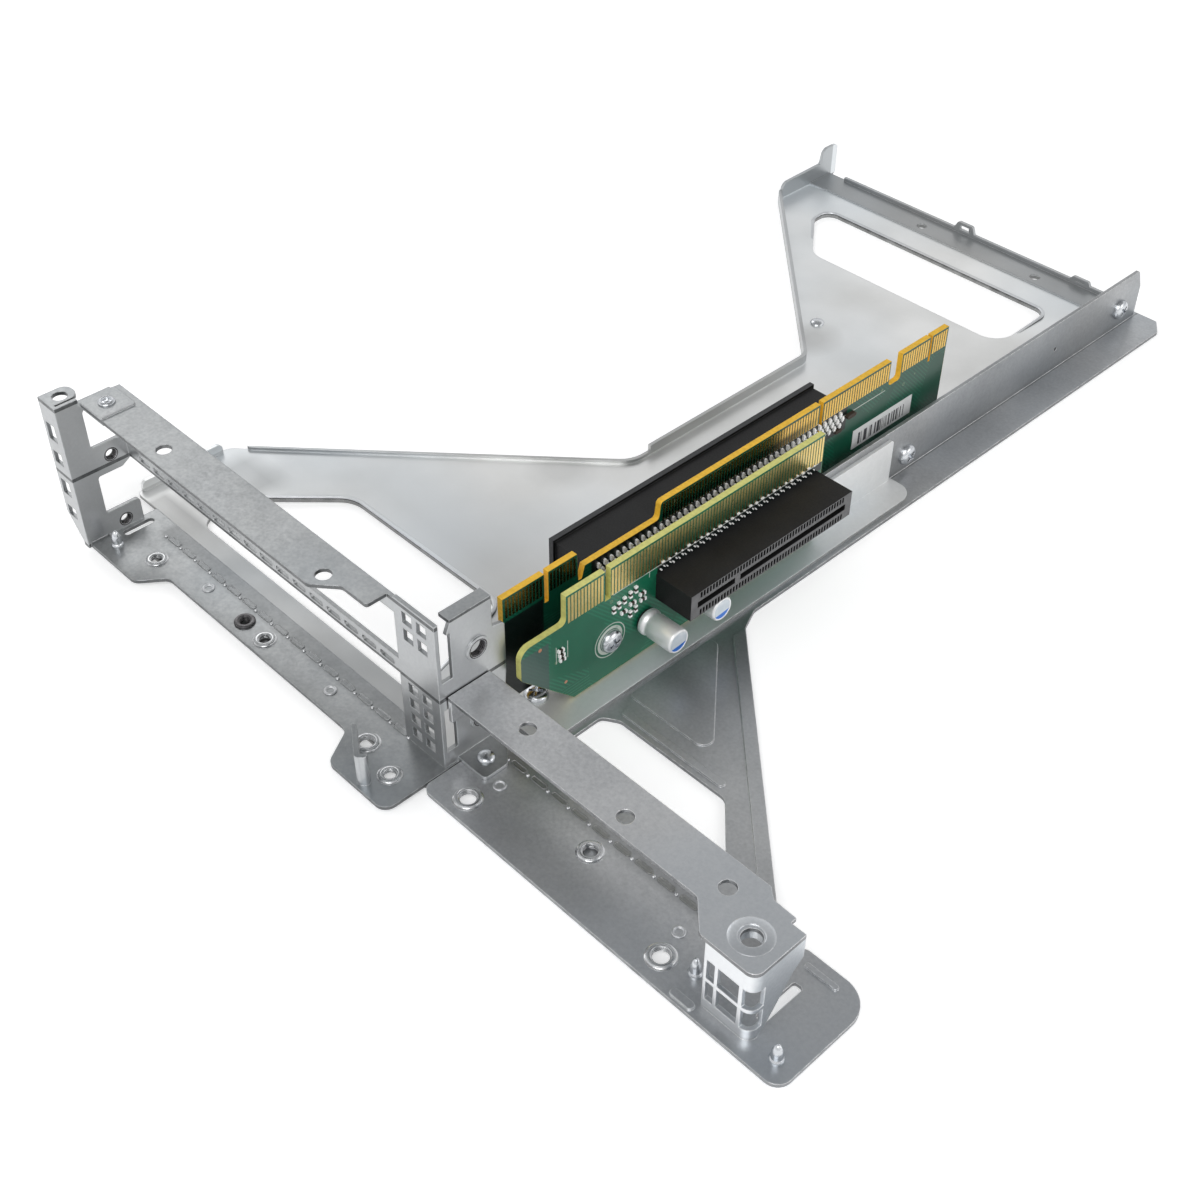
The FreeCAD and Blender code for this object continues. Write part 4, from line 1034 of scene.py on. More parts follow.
    @staticmethod
    @cache
    def row_tree(shape: Shape) -> Tree:
        """Give the geometry tree that sets a simple shape out in a row.

        Args:
            shape: The shape that is repeated.

        Returns:
            The tree.
        """
        w, takes = Workshop.start_tree(
            "row_of_" + shape.name.lower(), "Count:Int Start:Vector Step:Vector Stagger:Vector Size:Vector "
            "Turn:Vector Vary:Float Seed:Int Finish:Material")
        keys = {"Count": takes["Count"], "Start Location": takes["Start"], "Offset": takes["Step"]}
        line = w.add("GeometryNodeMeshLine", keys, mode="OFFSET").outputs[0]
        odd = w.math("MODULO", w.add("GeometryNodeInputIndex").outputs[0], 2.0)
        shift = w.scaled(takes["Stagger"], odd)
        points = w.add("GeometryNodeSetPosition", {"Geometry": line, "Offset": shift}).outputs[0]
        sizes = {Shape.BOX: {"Size": (1.0, 1.0, 1.0)}, Shape.PIN: {"Vertices": 8, "Radius": 0.5, "Depth": 1.0},
                 Shape.DOME: {"Segments": 12, "Rings": 8, "Radius": 0.5}}[shape]
        random = w.random(w.math("SUBTRACT", 1.0, takes["Vary"]), w.plus(1.0, takes["Vary"]), takes["Seed"])
        return Workshop.end_tree(w, takes, points, {
            "Instance": w.add(shape.value, sizes).outputs[0], "Rotation": w.rotation(takes["Turn"]),
            "Scale": w.scaled(takes["Size"], random)})

    @staticmethod
    @cache
    def copies_tree() -> Tree:
        """Give the geometry tree that sets copies of a made piece on points, each spun a little.

        Returns:
            The tree.
        """
        w, takes = Workshop.start_tree(
            "set_copies", "Geometry:Geometry Model:Object Turn:Vector Spin:Float Seed:Int Finish:Material")
        model = w.add("GeometryNodeObjectInfo", {"Object": takes["Model"]}).outputs["Geometry"]
        spun = w.add("ShaderNodeCombineXYZ", {"Z": w.random(0.0, takes["Spin"], takes["Seed"])}).outputs[0]
        keys = {0: w.rotation(takes["Turn"]), 1: w.rotation(spun)}
        both = w.add("FunctionNodeRotateRotation", keys, rotation_space="LOCAL").outputs[0]
        return Workshop.end_tree(w, takes, takes["Geometry"], {"Instance": model, "Rotation": both})

    @staticmethod
    def run(name: str, start: Mesh, tree: Tree, **values: object) -> Mesh:
        """Run a geometry tree and keep what it makes as a plain mesh.

        Args:
            name: The new mesh's name.
            start: The mesh that the tree starts from.
            tree: The geometry tree.
            values: The tree's inputs by their names.

        Returns:
            The plain mesh.
        """
        holder = Workshop.show(name + "_maker", start)
        modifier = holder.modifiers.new("make", "NODES")
        modifier.node_group = tree
        for socket in tree.interface.items_tree:
            if socket.in_out == "INPUT" and socket.name in values:
                modifier[socket.identifier] = values[socket.name]
        holder.update_tag()
        made = bpy.data.meshes.new_from_object(holder.evaluated_get(bpy.context.evaluated_depsgraph_get()))
        made.name = name
        bpy.data.objects.remove(holder)
        return made

    @classmethod
    def row(cls, shape: Shape, count: int, start: Point, step: Point, size: Point, finish: Finish,
            stagger: Point = (0, 0, 0), turn: Point = (0, 0, 0), vary: float = 0.0) -> Mesh:
        """Make a row of a simple shape; lengths are in millimetres.

        Args:
            shape: The shape.
            count: How many the row has.
            start: The place of the first.
            step: The way from each to the next.
            size: The size of each.
            finish: The finish.
            stagger: How far every second one is moved.
            turn: How each is turned, in radians.
            vary: How much the sizes differ.

        Returns:
            The row's mesh.
        """
        return cls.run(
            "row", bpy.data.meshes.new("row_seed"), cls.row_tree(shape), Count=count, Start=metres(start),
            Step=metres(step), Stagger=metres(stagger), Size=metres(size), Turn=turn, Vary=vary, Seed=ROW_SEED,
            Finish=finish.material())

    @classmethod
    def copies(cls, model: Mesh, spots: list[Point], finish: Finish, turn: Point = (0, 0, 0),
               spin: float = ANY_TURN) -> Mesh:
        """Set copies of a mesh on spots.

        Args:
            model: The mesh.
            spots: The spots, in millimetres.
            finish: The finish.
            turn: How each is turned, in radians.
            spin: How far each may be spun about its own axis, in radians.

        Returns:
            The mesh of all copies.
        """
        seed = bpy.data.meshes.new("spots")
        seed.from_pydata([metres(spot) for spot in spots], [], [])
        pattern = cls.show("model", model)
        made = cls.run("copies", seed, cls.copies_tree(), Model=pattern, Turn=turn, Spin=spin, Seed=COPY_SEED,
                       Finish=finish.material())
        bpy.data.objects.remove(pattern)
        return made


# The finishes of this object

# The levels at which the frames' sheets lie; their cut edges there take painted shade.
FRAME_LEVELS = ((1.0, 2.07), (21.63, 22.63), (42.3, 43.3))
# Painted light on the faces that look forward; painted shade along the right row of pads and over the ledge's
# right end.
FRAME_ZINC = SheetFinish(
    "frame_zinc", pale=(0.68, 0.69, 0.70), dark=(0.45, 0.46, 0.475), gloss=0.32, speckle=0.26, wear_and_highlight=1.0,
    scuffs=0.3, front=0.65, cut_levels=FRAME_LEVELS,
    shaded=(((5.0, 10.4, 1.5), (80.0, 17.0, 2.6), 0.7, 1.2),
            ((76.0, -20.0, 1.5), (115.0, 30.0, 2.6), 0.84, 6.0)))
# A darker copy of the frame zinc, with little edge highlight, for the right row of pads: painted shade over
# that row.
SHADED_PAD_ZINC = SheetFinish(
    "dull_zinc", pale=(0.36, 0.365, 0.36), dark=(0.24, 0.245, 0.24), gloss=0.36, wear_and_highlight=0.2, scuffs=0.2)
# Painted light on the faces that look forward or aside; painted shade along the left row of pads.
LEFT_ZINC = SheetFinish(
    "left_frame_zinc", pale=(0.38, 0.39, 0.395), dark=(0.24, 0.25, 0.255), gloss=0.32, speckle=0.18, cloud=0.2,
    wear_and_highlight=1.0, scuffs=0.3, front=0.3, side=0.42, cut_levels=FRAME_LEVELS,
    shaded=(((-112.0, -0.6, 1.5), (-15.0, 6.0, 2.6), 0.68, 1.0),))
# Painted shade on the back band, the raised rims, the wing, the near strip and its left corner.
COVER_SHEET = SheetFinish(
    "cover_sheet", pale=(0.84, 0.845, 0.84), dark=(0.75, 0.755, 0.745), gloss=0.32, grain=700.0,
    speckle=0.05, crystal=0.04, cloud=0.5, relief=0.02, dust=0.0, wear_and_highlight=0.3, scuffs=0.0,
    cut_levels=((0.0, 1.02),), cut_shade=0.3,
    shaded=(((-130.0, 262.6, 0.0), (10.0, 273.0, 1.9), 0.76, 0.15),
            ((-130.0, 20.0, 1.3), (10.0, 273.0, 14.0), 0.62, 0.15),
            ((-140.0, -30.0, -2.0), (30.0, 70.0, 1.9), 0.68, 18.0),
            ((-126.0, -20.0, -1.0), (-14.0, 10.5, 1.9), 0.6, 1.0),
            ((-126.0, 10.0, -1.0), (-108.0, 36.0, 1.9), 0.66, 3.0)),
    # The dark spots are painted reflection of board A's end.
    painted_reflection_spots=((-57.0, 190.0, 11.0, 0.55), (-62.0, 92.0, 12.0, 0.35)))
# The hem's cut edges take a very dark painted shade.
HEM_SHEET = SheetFinish(
    "hem_sheet", pale=(0.74, 0.745, 0.75), dark=(0.5, 0.505, 0.51), gloss=0.3, speckle=0.08, crystal=0.04,
    relief=0.02, dust=0.0, wear_and_highlight=0.9, scuffs=0.0, cut_levels=((0.0, 1.4),), cut_shade=0.12)
# Painted shade on the wall's outer face, and a thin painted dark line of shade in the fold.
RAIL_ZINC = SheetFinish(
    "rail_zinc", pale=(0.59, 0.60, 0.61), dark=(0.39, 0.40, 0.41), gloss=0.38, speckle=0.2, wear_and_highlight=1.0,
    scuffs=0.2, cut_levels=((0.0, 1.02),),
    shaded=(((-1.0, 5.0, 1.3), (2.2, 280.0, 40.0), 0.7, 0.15),
            ((1.1, 5.0, 0.5), (1.5, 280.0, 2.2), 0.5, 0.15)))
CARRIER_SHEET = SheetFinish(
    "carrier_sheet", pale=(0.84, 0.85, 0.85), dark=(0.70, 0.71, 0.71), gloss=0.5, metal=0.6, speckle=0.1,
    wear_and_highlight=0.9, scuffs=0.2, cut_levels=((1.0, 2.0),))
# The boards' near-black boxes are painted shadow between the boards and under the slot.
LONG_BOARD = BoardFinish(
    "long_board_mask", mask=(0.004, 0.072, 0.04), trace=(0.008, 0.12, 0.068), edge=(0.86, 0.50, 0.03),
    painted_shadow_boxes=((47.6, 22.9, 136.6, 29.8), (47.6, 22.9, 69.0, 30.9), (21.0, 5.0, 33.0, 28.8)),
    print_boxes=((127.6, 27.1, 152.0, 27.35), (69.5, 29.75, 137.0, 29.95)))
SHORT_BOARD = BoardFinish(
    "short_board_mask", mask=(0.008, 0.135, 0.07), trace=(0.018, 0.2, 0.11), edge=(0.66, 0.64, 0.2),
    bare_boxes=((19.4, 10.0, 27.5, 24.2),), painted_shadow_boxes=((61.0, 23.9, 118.0, 26.9),),
    print_boxes=((47.0, 26.05, 117.0, 26.3), (58.4, 24.5, 58.6, 26.2), (29.6, 16.4, 29.8, 21.4),
                 (33.0, 16.4, 33.2, 21.4)),
    copper_dots=((25.0, 23.6, 0.5), (32.5, 9.1, 0.45)),
    rings=((46.2, 13.1, 4.5, 4.75), (46.2, 13.1, 3.1, 3.9)))
# The slot plastics' paler part beyond a level along X is painted light.
BLACK_SLOT = PlasticFinish(
    "slot_plastic", colour=(0.009, 0.009, 0.0095), pale=(0.05, 0.052, 0.055), painted_light_below=-15.0)
SHORT_SLOT = PlasticFinish(
    "short_slot_plastic", colour=(0.011, 0.011, 0.0115), pale=(0.16, 0.16, 0.164), painted_light_above=14.99)
SEAL = PlasticFinish("can_seal", colour=(0.02, 0.02, 0.02))
CHIP = PlasticFinish("chip_body", colour=(0.05, 0.035, 0.025))
NICKEL = PlatedFinish("screw_nickel", colour=(0.74, 0.76, 0.78), shade=(0.52, 0.54, 0.57), gloss=0.16)
BRIGHT_STEEL = PlatedFinish("formed_steel", colour=(0.74, 0.75, 0.76), shade=(0.5, 0.51, 0.52), gloss=0.16)
DARK_STEEL = PlatedFinish("insert_steel", colour=(0.16, 0.155, 0.16), shade=(0.07, 0.068, 0.07), gloss=0.22)
# Painted shadow on the long fingers' left part, and painted shade on the fingers' lower ends.
LONG_GOLD = PlatedFinish(
    "long_finger_gold", colour=(0.80, 0.52, 0.13), shade=(0.72, 0.44, 0.1), gloss=0.2,
    painted_shadow_stretch=(15.0, 60.0, 0.3), painted_shade_ramp=(31.6, 33.0, 0.9, 40.0, 122.0), relief=0.03, edge=0.02)
SHORT_GOLD = PlatedFinish(
    "short_finger_gold", colour=(0.86, 0.66, 0.28), shade=(0.76, 0.56, 0.2), gloss=0.26,
    painted_shade_ramp=(27.0, 31.6, 0.9, 60.0, 106.0), relief=0.03, edge=0.02)
# Near-white and hardly metallic: the tin's brightness is a painted highlight.
SOLDER = PlatedFinish(
    "solder_tin", colour=(0.97, 0.97, 0.96), shade=(0.93, 0.93, 0.92), gloss=0.3, metal=0.05, relief=0.05,
    edge=0.05)
CAN_ALUMINIUM = PlatedFinish(
    "can_aluminium", colour=(0.94, 0.945, 0.95), shade=(0.86, 0.865, 0.87), gloss=0.36, metal=0.62,
    relief=0.03, edge=0.1)
CAN_END = CanEndFinish("can_end")
LABEL = LabelFinish("label_stock")


# Sub-assemblies


@dataclass
class Metalwork:
    """The folded sheets with their grounding rows, formed hole rims, buttons and opening hems.

    Rows are (start, pitch, count, y), formed holes are (x, y, radius) or (x, y, z, radius), hems are (corners
    with their radii, y where the rise starts, y where it is full), in millimetres.
    """

    ledge_top: float = 2.0
    left_row: tuple[float, float, int, float] = (-109.5, 6.46, 16, 0.0)
    right_row: tuple[float, float, int, float] = (7.6, 6.4, 11, 11.6)
    dot: Point = (0.95, 0.95, 0.9)
    pad: tuple[float, float] = (4.7, 1.35)
    pad_shift: float = 0.45
    ledge_holes: tuple[Point, ...] = (
        (-103.4, -6.7, 1.6), (-60.8, -4.4, 1.6), (-17.8, -7.6, 1.9), (-6.8, -9.9, 1.6),
        (10.1, -2.1, 2.1), (38.7, 6.7, 1.8), (67.3, -1.5, 2.1))
    tab_holes: tuple[Box, ...] = (
        (-121.0, -4.6, 24.6, 1.55), (-121.0, -4.6, 4.28, 1.55), (-0.5, 10.8, 31.2, 2.1),
        (-0.5, 10.8, 10.88, 2.1))
    rim_width: float = 0.75
    thread_pitch: float = 0.42
    buttons: tuple[tuple[float, float], ...] = ((-85.5, -3.5), (-36.5, -3.5), (12.0, 5.3), (65.6, 5.3))
    hems: tuple[tuple[tuple[Point, ...], float, float], ...] = (
        (((-109.6, 10.0, 4.5), (-23.0, 10.0, 4.0), (-33.0, 44.2, 5.0), (-90.0, 44.2, 9.0), (-109.6, 24.0, 6.0)),
         16.0, 26.0),
        (((-89.6, 227.6, 7.0), (-17.8, 227.6, 7.0), (-17.8, 252.0, 4.0), (-103.6, 252.0, 4.0),
          (-103.6, 245.0, 4.0)), 241.0, 249.0))
    hem_root: float = 0.9
    boss: Point = (85.7, 2.5, 22.63)

    def dress(self) -> None:
        """Finish the folded sheets."""
        for node, finish in (("left_io_frame", LEFT_ZINC), ("right_io_frame", FRAME_ZINC),
                             ("cover_plate", COVER_SHEET), ("guide_rail", RAIL_ZINC),
                             ("riser_carrier_bracket", CARRIER_SHEET)):
            Workshop.dress(node, finish)

    @staticmethod
    def hoop(corners: tuple[Point, ...], grow: float, steps: int = 7) -> Outline:
        """Give a rounded outline, moved outwards.

        Args:
            corners: The corners as (x, y, radius), against the clock, in millimetres.
            grow: How far the outline is moved outwards.
            steps: How many points an arc has besides its first.

        Returns:
            The outline's points in order.
        """
        points = []
        for k, (x, y, r) in enumerate(corners):
            spot = Vector((x, y))
            ahead = (spot - Vector(corners[k - 1][:2])).normalized()
            onward = (Vector(corners[(k + 1) % len(corners)][:2]) - spot).normalized()
            turn = math.atan2(ahead.cross(onward), ahead.dot(onward))
            middle = spot - ahead * r * math.tan(turn / 2) + Vector((-ahead.y, ahead.x)) * r
            first = math.atan2(-ahead.x, ahead.y)
            for step in range(steps + 1):
                angle = first + turn * step / steps
                arm = Vector((math.cos(angle), math.sin(angle))) * (r + grow)
                points.append(tuple(middle + arm))
        return points

    def opening_hems(self) -> None:
        """Add the turned hems of the cover plate's large openings; they rise along the far edges alone."""
        profile = ((0.0, 0.9), (0.0, 1.5), (0.16, 1.72), (0.7, 1.76), (1.0, 1.6), (1.15, 1.0), (1.15, 0.9))
        build = bmesh.new()
        for corners, first, full in self.hems:
            rings = []
            for grow, height in profile:
                rings.append([])
                for u, v in self.hoop(corners, grow):
                    rise = min(1.0, max(0.0, (v - first) / (full - first)))
                    spot = Axis.Z.point(u, v, self.hem_root + (height - self.hem_root) * rise)
                    rings[-1].append(build.verts.new(spot))
            Workshop.bridge(build, rings + rings[:1])
        Workshop.piece("opening_hems", build, HEM_SHEET, Slot.STEEL)

    def pad_mesh(self) -> Mesh:
        """Model one long raised pad with a sunk middle, as pressed between two dots.

        Returns:
            The pad's mesh.
        """
        build = bmesh.new()
        length, width = self.pad
        steps = ((0.35, -0.05), (0.12, 0.16), (-0.12, 0.2), (-0.4, 0.06))
        outlines = [(Workshop.stadium(length + grow, width + grow), height) for grow, height in steps]
        Workshop.stack(build, outlines)
        return Workshop.mesh("pad", build)

    def grounding_rows(self) -> None:
        """Add the rows of dots and long pads along both ledges, and the boss on the corner box."""
        dots = []
        z = self.ledge_top
        # The right row's pads take the darker copy of the zinc: painted shade.
        for finish, (start, pitch, count, y) in ((LEFT_ZINC, self.left_row), (SHADED_PAD_ZINC, self.right_row)):
            dots.append(Workshop.row(Shape.DOME, count, (start, y, z), (pitch, 0, 0), self.dot, BRIGHT_STEEL))
            spots = [(start + pitch * (k + 0.5), y + self.pad_shift, z) for k in range(count - 1)]
            pads = Workshop.copies(self.pad_mesh(), spots, finish, spin=0.0)
            Workshop.piece("pads_" + finish.name, pads, finish, Slot.STEEL)
        Workshop.piece("grounding_dots", dots, BRIGHT_STEEL, Slot.STEEL)
        boss = bmesh.new()
        profile = [(2.5, -0.05), (2.5, 0.1), (2.7, 0.24), (3.6, 0.18), (4.6, 0.02), (4.6, -0.05)]
        Workshop.ring(boss, self.boss, profile, steps=36)
        Workshop.piece("box_boss", boss, FRAME_ZINC, Slot.STEEL)

    def hole_rims(self) -> None:
        """Add the pressed rims and the thread turns of the formed holes."""
        rims = bmesh.new()
        for x, y, r in self.ledge_holes:
            out = r + self.rim_width
            Workshop.ring(rims, (x, y, self.ledge_top), [
                (r + 0.02, 0.4), (r + 0.1, 0.58), (r + 0.4, 0.64), (out - 0.06, 0.52), (out + 0.05, 0.25),
                (out + 0.3, 0.08), (out + 0.6, 0.02), (out + 0.6, -0.05), (r + 0.3, -0.05)])
            for k in range(3):
                spot = (x, y, self.ledge_top + 0.25 - self.thread_pitch * k)
                Workshop.ring(rims, spot, [(r + 0.05, 0.12), (r - 0.24, 0.0), (r + 0.05, -0.12)])
        Workshop.piece("hole_rims", rims, BRIGHT_STEEL, Slot.STEEL)
        threads = bmesh.new()
        for x, y, z, r in self.tab_holes:
            Workshop.ring(threads, (x, y, z), [
                (r, -0.9), (r, 0.95), (r + 0.2, 1.05), (r + 0.55, 0.95), (r + 0.75, 0.6), (r + 0.8, 0.4),
                (r + 0.3, -0.9)], Axis.X)
            for k in range(4):
                spot = (x - 0.6 + self.thread_pitch * k, y, z)
                Workshop.ring(threads, spot, [(r + 0.05, 0.15), (r - 0.3, 0.0), (r + 0.05, -0.15)], Axis.X)
        # The dark insert steel on the tab holes' rings is painted shade inside the holes.
        Workshop.piece("tab_threads", threads, DARK_STEEL, Slot.STEEL)

    def clinches(self) -> None:
        """Add the pressed buttons with their sunk middles."""
        profile = [(0, -0.3), (1.6, -0.3), (1.6, 0.05), (1.5, 0.3), (1.25, 0.4), (1.05, 0.34), (0.85, 0.0),
                   (0.4, -0.1), (0, -0.1)]
        spots = [(x, y, self.ledge_top) for x, y in self.buttons]
        made = Workshop.copies(Workshop.lathe("button", profile, 24), spots, FRAME_ZINC)
        Workshop.piece("clinch_buttons", made, FRAME_ZINC, Slot.STEEL, "clinch_joints")

    def build(self) -> None:
        """Make the metalwork's looks."""
        for step in (self.dress, self.grounding_rows, self.hole_rims, self.clinches, self.opening_hems):
            step()


@dataclass
class Fasteners:
    """Screws, rivets, pins, spacers and the pressed insert; profiles are (radius, height), in millimetres."""

    head_radius: float = 3.0
    head_height: float = 1.9
    shank_radius: float = 1.45
    recess: tuple[float, float, float] = (1.6, 0.36, 1.1)
    insert: Point = (-69.3, -4.1, 2.0)
    turned: tuple[tuple[str, str, tuple[tuple[float, float], ...], tuple[Point, ...]], ...] = (
        ("pin_set", "locating_pins",
         ((0, 0), (1.6, 0), (1.6, 0.45), (1.42, 0.75), (1.25, 0.95), (1.2, 2.5), (1.1, 3.0), (0.85, 3.7),
          (0.5, 4.3), (0.2, 4.55), (0, 4.6)),
         ((-115.1, -10.6, 2.0), (74.6, 0.6, 2.0), (98.2, -2.4, 2.0))),
        ("foot_rivet_set", "foot_rivet",
         ((0, -2.9), (1.3, -2.9), (1.3, 0.0), (2.1, 0.0), (2.1, 0.25), (1.95, 0.65), (1.6, 0.95), (1.0, 1.15),
          (0, 1.2)),
         ((4.5, 8.0, 3.0),)),
        ("strip_rivet_set", "strip_rivet",
         ((0, -2.4), (1.3, -2.4), (1.3, 0.0), (2.1, 0.0), (2.1, 0.3), (1.9, 0.55), (1.45, 0.7), (1.2, 0.6),
          (1.1, 0.3), (0.7, 0.3), (0.5, 0.42), (0, 0.45)),
         ((-113.7, -5.5, 43.8),)),
        ("panel_stud_set", "panel_stud",
         ((0, -0.95), (1.3, -0.95), (1.3, 0.0), (2.1, 0.0), (2.1, 0.25), (1.8, 0.6), (1.2, 0.88), (0, 1.0)),
         ((-62.1, 197.5, 1.0),)))

    def screw(self, grip: float, spots: list[Point], toward: int = 0, spin: float = ANY_TURN) -> Mesh:
        """Model pan-head screws with a cross recess.

        Args:
            grip: How far the shank reaches below the seat, in millimetres.
            spots: Where the seats are, in millimetres.
            toward: Where the heads look: 1 and -1 along X, 0 up.
            spin: How far each may be spun about its axis, in radians.

        Returns:
            The screws' mesh.
        """
        r, h, s = self.head_radius, self.head_height, self.shank_radius
        profile = [(0, -grip), (s * 0.8, -grip), (s, -grip + 0.3), (s, 0.0), (r, 0.0), (r, h * 0.25),
                   (r * 0.96, h * 0.5), (r * 0.88, h * 0.7), (r * 0.72, h * 0.88), (r * 0.45, h * 0.98), (0, h)]
        cross = bmesh.new()
        reach, half, depth = self.recess
        for u, v in ((reach, half), (half, reach)):
            outline = [(-u, -v), (u, -v), (u, v), (-u, v)]
            Workshop.stack(cross, [(outline, h - depth), (outline, h + 0.5)])
        made = Workshop.cut(Workshop.lathe("screw", profile), Workshop.kept("recess", cross))
        return Workshop.copies(made, spots, NICKEL, (0, QUARTER * toward, 0), spin)

    def screws(self) -> None:
        """Make the screws that stand for the plain ones."""
        rail = self.screw(2.9, [(1.0, 158.8, 6.1), (1.0, 260.0, 7.5)], 1)
        Workshop.piece("rail_screw_set", rail, NICKEL, Slot.PLATED, "rail_screws")
        board = [self.screw(2.9, [(3.9, 46.2, 13.1)], 1, 0.4),
                 self.screw(5.2, [(-5.3, 60.0, 12.0), (-5.3, 150.0, 9.0)], -1)]
        Workshop.piece("board_screw_set", board, NICKEL, Slot.PLATED, "board_screws")
        panel = self.screw(1.9, [(-2.8, 29.3, 2.0)])
        Workshop.piece("panel_screw_set", panel, NICKEL, Slot.PLATED, "panel_screw")

    def collar(self) -> None:
        """Make the pressed insert with its thread turns."""
        x, y, z = self.insert
        build = bmesh.new()
        profile = [(1.45, -0.95), (1.45, 0.35), (1.6, 0.52), (2.0, 0.6), (2.45, 0.52), (2.6, 0.3), (2.6, 0.0),
                   (1.9, 0.0), (1.9, -0.95)]
        Workshop.ring(build, self.insert, profile, steps=28)
        for k in range(3):
            Workshop.ring(build, (x, y, z + 0.3 - 0.42 * k), [(1.5, 0.12), (1.2, 0.0), (1.5, -0.12)], steps=28)
        Workshop.piece("insert_set", build, DARK_STEEL, Slot.PLATED, "ledge_insert")

    def build(self) -> None:
        """Make the fasteners."""
        self.screws()
        for name, node, profile, spots in self.turned:
            made = Workshop.copies(Workshop.lathe(name, profile), spots, NICKEL)
            Workshop.piece(name, made, NICKEL, Slot.PLATED, node)
        self.collar()
        Workshop.dress("board_spacers", NICKEL)


@dataclass
class Boards:
    """The two riser boards with fingers, pins, label and small parts; lengths are in millimetres."""

    long_faces: tuple[float, float] = (-3.7, -5.3)
    short_faces: tuple[float, float] = (3.9, 2.3)
    finger_pitch: float = 1.0
    finger_width: float = 0.66
    long_finger_top: float = 35.0
    short_finger_top: float = 33.8
    long_heights: tuple[float, float] = (5.2, 4.8)
    short_heights: tuple[float, float] = (7.4, 7.4)
    long_groups: Outline = field(default_factory=lambda: [
        (21.9, 32.8), (35.2, 42.6), (70.2, 124.8), (127.2, 152.5), (158.4, 168.8), (170.8, 176.4)])
    short_groups: Outline = field(default_factory=lambda: [(33.3, 43.9), (46.8, 117.8)])
    pin_rows: Outline = field(default_factory=lambda: [(49.6, 28.8), (50.6, 27.15), (49.6, 25.5)])
    pins_in_row: int = 43
    pin_pitch: float = 2.0
    chip_height: float = 0.6
    cap_height: float = 0.68
    chips: list[Box] = field(default_factory=lambda: [
        (30.8, 20.1, 1.6, 0.9), (31.0, 18.6, 1.6, 0.9), (31.2, 17.2, 1.6, 0.9), (47.0, 21.9, 0.9, 1.7),
        (48.6, 22.4, 0.9, 1.7), (50.3, 22.9, 0.9, 1.7), (52.2, 23.4, 0.9, 1.7), (53.9, 23.9, 0.9, 1.7),
        (52.2, 17.6, 0.9, 1.7), (53.9, 18.2, 0.9, 1.7), (52.9, 20.4, 1.7, 0.9), (50.1, 19.4, 1.7, 0.9),
        (56.0, 21.4, 1.7, 0.9), (56.2, 19.6, 1.7, 0.9)])

    def fingers(self, name: str, node: str, groups: Outline, top: float, heights: tuple[float, float],
                faces: tuple[float, float], gold: PlatedFinish) -> None:
        """Add the gold fingers of a board on both of its faces, in the place of the plain strips.

        Args:
            name: The piece's name.
            node: The CAD node with the plain strips.
            groups: The stretches along Y that hold fingers.
            top: The fingers' upper end.
            heights: The fingers' height on the front face and on the back face.
            faces: The places of the two faces along X.
            gold: The finish.
        """
        meshes = []
        for low, high in groups:
            count = max(2, int(high - low) + 1)
            start = (low + high - (count - 1) * self.finger_pitch) / 2
            for x, height, out in zip(faces, heights, (0.02, -0.02)):
                meshes.append(Workshop.row(Shape.BOX, count, (x + out, start, top - height / 2),
                                           (0, self.finger_pitch, 0), (0.07, self.finger_width, height), gold))
        Workshop.piece(name, meshes, gold, Slot.GOLD, node, smooth=False)

    def pins(self) -> None:
        """Add the solder pins of the long slot, in three staggered rows with slanted fillets."""
        face = self.long_faces[0]
        meshes = []
        for y, z in self.pin_rows:
            for spot, size, lean in (((face + 0.25, y, z), (0.7, 0.55, 1.35), 0.0),
                                     ((face + 0.15, y + 0.5, z - 0.7), (0.3, 0.3, 1.3), -0.7)):
                meshes.append(Workshop.row(Shape.BOX, self.pins_in_row, spot, (0, self.pin_pitch, 0), size,
                                           SOLDER, turn=(lean, 0, 0)))
        Workshop.piece("long_slot_pins", meshes, SOLDER, Slot.PLATED)
        dark = bmesh.new()
        for y, z, length, width, height in ((137.6, 26.9, 3.4, 1.2, 1.1), (133.0, 24.2, 2.6, 1.0, 0.9)):
            outline = [(u + y, v + z) for u, v in Workshop.stadium(length, width)]
            Workshop.stack(dark, [(outline, face), (outline, face + height)], Axis.X)
        Workshop.piece("long_board_parts", dark, CHIP, Slot.PLASTIC)

    def small_parts(self) -> None:
        """Add the rows of pins above the short slot, and the small chips with their two caps."""
        x = self.short_faces[0]
        meshes = [Workshop.row(Shape.PIN, 54, (x + 0.2, 62.0, 24.9), (0, 1.0, 0), (0.36, 0.36, 0.6), SOLDER,
                               (0, 0, 0.55), (0, QUARTER, 0), 0.15),
                  Workshop.row(Shape.BOX, 26, (x + 0.25, 62.6, 26.9), (0, 2.1, 0), (0.4, 0.7, 0.3), SOLDER,
                               (0, 0, -0.3), vary=0.3)]
        Workshop.piece("slot_pin_rows", meshes, SOLDER, Slot.PLATED)
        dark, pale = bmesh.new(), bmesh.new()
        for y, z, wide, high in self.chips:
            dy, dz = wide * 0.36, high * 0.36
            Workshop.box(dark, (x, y - dy, z - dz), (x + self.chip_height, y + dy, z + dz), 0.05)
            for side in (-0.4, 0.4):
                cy, cz = (y + side * wide, z) if wide > high else (y, z + side * high)
                dy, dz = (wide * 0.16, high * 0.5) if wide > high else (wide * 0.5, high * 0.16)
                Workshop.box(pale, (x, cy - dy, cz - dz), (x + self.cap_height, cy + dy, cz + dz), 0.06)
        Workshop.piece("chip_bodies", dark, CHIP, Slot.PLASTIC, smooth=False)
        Workshop.piece("chip_caps", pale, SOLDER, Slot.PLATED, smooth=False)

